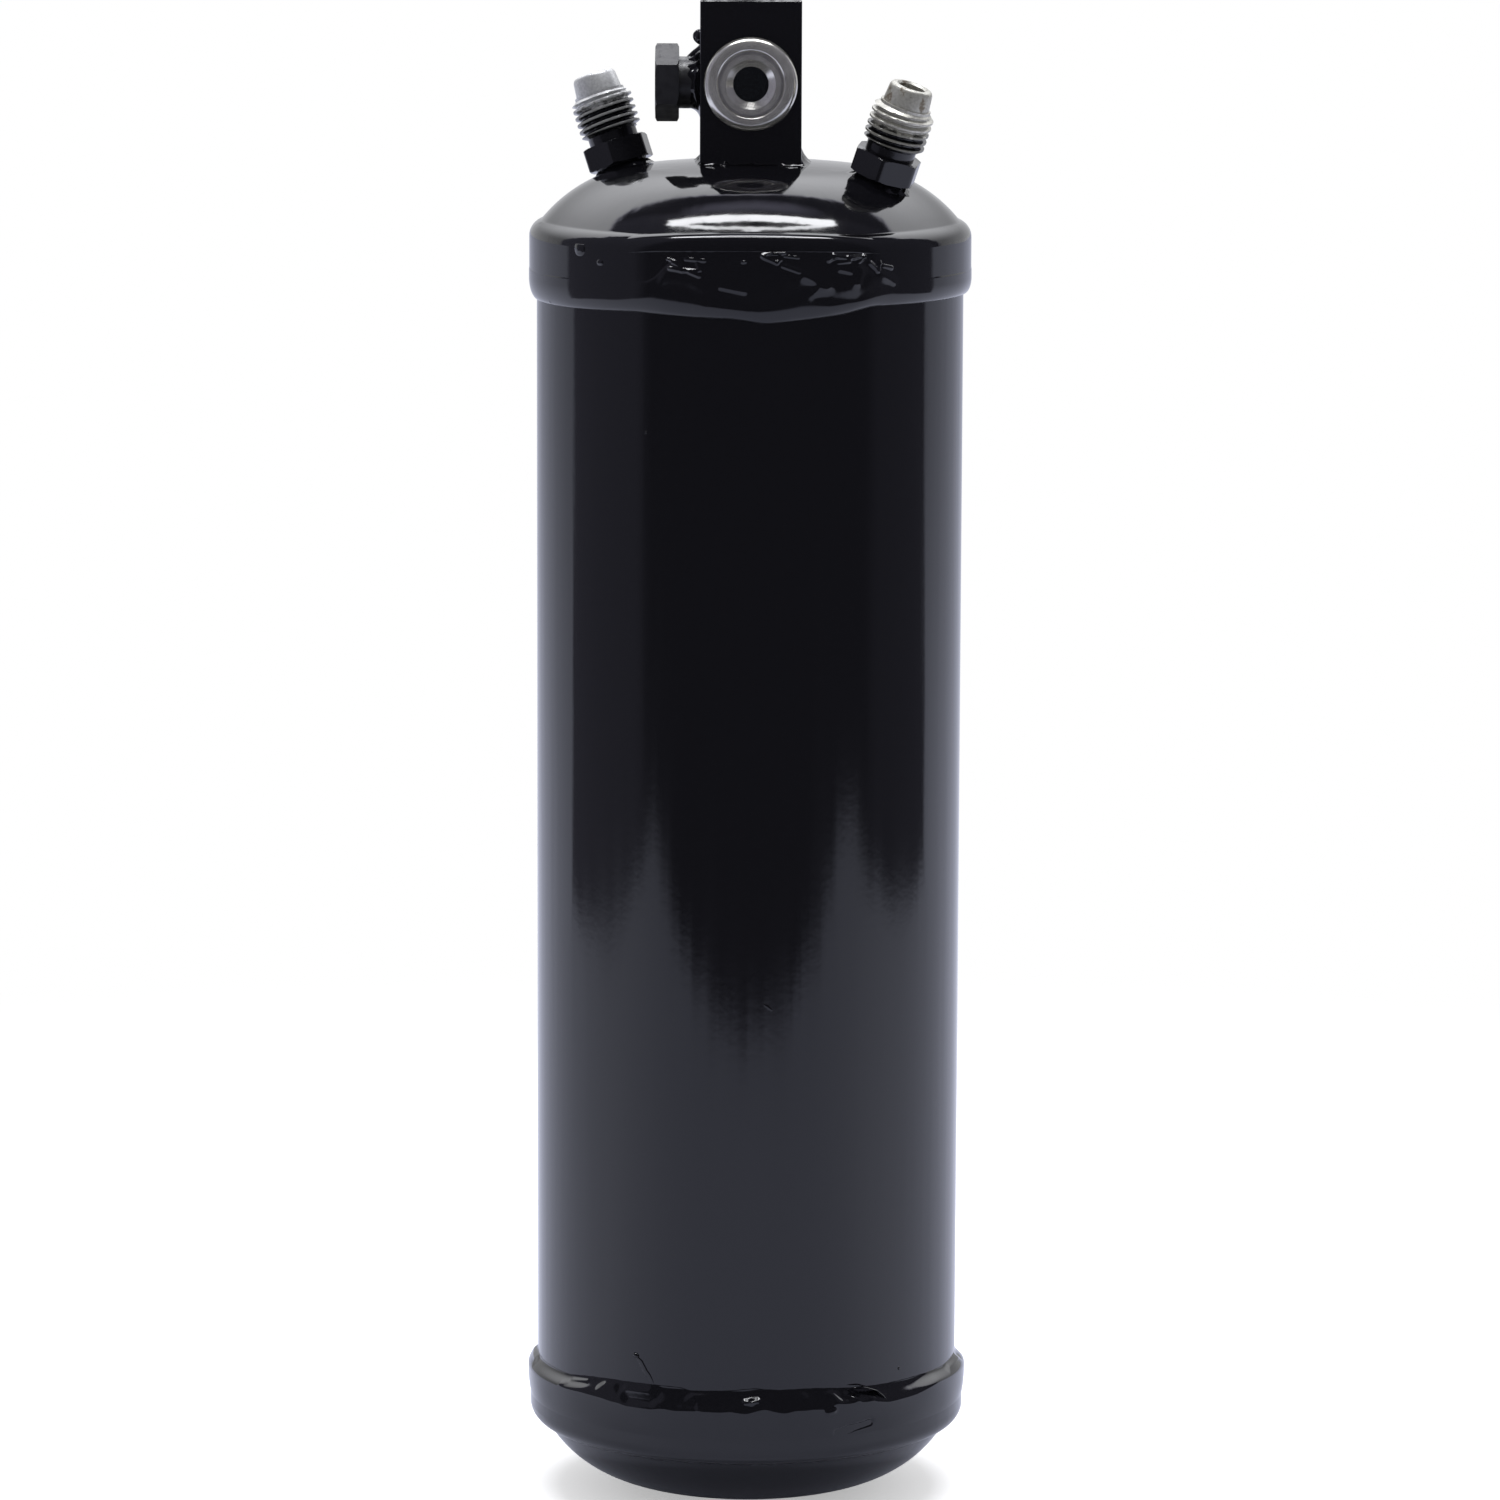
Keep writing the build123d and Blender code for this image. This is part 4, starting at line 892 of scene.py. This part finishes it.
# Weld round the plug's neck: hollow below, built up in lumps above, with one blob of spatter over it.
plugWeld = {
    "columns": 160, "rows": 18, "face": -9.0, "height": 255.95, "neck": 4.6, "inside": 0.5, "under": 0.4,
    "soften": 6.0, "seed": 51, "climbWaves": (7, (4, 16), 0.0, 0.18), "reachWaves": (7, (4, 16), 0.0, 0.15),
    "lumpWaves": (10, (5, 18), 1.0, 0.28),
    # Degrees round the neck from straight up: climb along the neck and reach over the block's face.
    "stops": [-180, -90, -60, -30, -12, 0, 14, 30, 60, 90, 180],
    "climb": [2.1, 2.0, 2.3, 2.7, 2.2, 2.6, 2.3, 2.8, 2.4, 2.0, 2.1],
    "reach": [2.2, 2.0, 1.9, 2.3, 2.0, 2.5, 2.1, 2.4, 2.0, 2.1, 2.2],
}


def plugWeldPoints(s):
    # Round the plug's level axis, a hollow quarter arc from the neck out to the block's face.
    angle = np.linspace(-np.pi, np.pi, s["columns"], endpoint=False)
    above = 0.5 + 0.5 * np.cos(angle)
    climb = aroundCurve(angle, s["stops"], s["climb"], s["soften"])
    climb = climb + ripple(angle, 0.0, s["seed"], *s["climbWaves"]) * above
    reach = aroundCurve(angle, s["stops"], s["reach"], s["soften"])
    reach = reach + ripple(angle, 0.0, s["seed"] + 1, *s["reachWaves"]) * above
    quarter = np.linspace(0, np.pi / 2, s["rows"])[:, None]
    radius = s["neck"] - 0.03 + reach * (1 - np.cos(quarter))
    out = climb * (1 - np.sin(quarter))
    lumps = ripple(angle, quarter * 2.5, s["seed"] + 2, *s["lumpWaves"])
    lumps = lumps * np.sin(2 * quarter) * above ** 2
    radius = np.concatenate([radius + lumps, [radius[-1]], *[evenRow(angle, s["neck"] - s["inside"])] * 2])
    out = np.concatenate([out + lumps, *[evenRow(angle, -s["under"])] * 2, [climb]])
    return np.stack([s["face"] - out, radius * np.sin(angle), s["height"] + radius * np.cos(angle)], -1)


addGrid("plug_neck_weld", plugWeldPoints(plugWeld), weldEnamel, ("relief_plug_weld",))

# The blob: a ball drawn out into three half sizes, with a wavering skin.
blob = {"centre": (-9.0, -4.4, 264.3), "half": (1.25, 1.0, 1.35), "rows": 14, "columns": 24,
        "seed": 61, "waves": (5, (1, 5), 1.0, 0.09)}
polar = np.linspace(0, np.pi, blob["rows"] + 2)[1:-1, None]
angle = np.linspace(-np.pi, np.pi, blob["columns"], endpoint=False)
skin = 1 + ripple(angle, polar * 2, blob["seed"], *blob["waves"]) * np.sin(polar)
ball = np.stack([np.sin(polar) * np.cos(angle) * skin, np.sin(polar) * np.sin(angle) * skin,
                 np.cos(polar) * skin], -1)
points = np.concatenate([ball.reshape(-1, 3), [[0, 0, 1.0], [0, 0, -1.0]]]) * blob["half"] + blob["centre"]
addPiece("weld_spatter", points, cappedFaces(blob["rows"], blob["columns"]), weldEnamel)
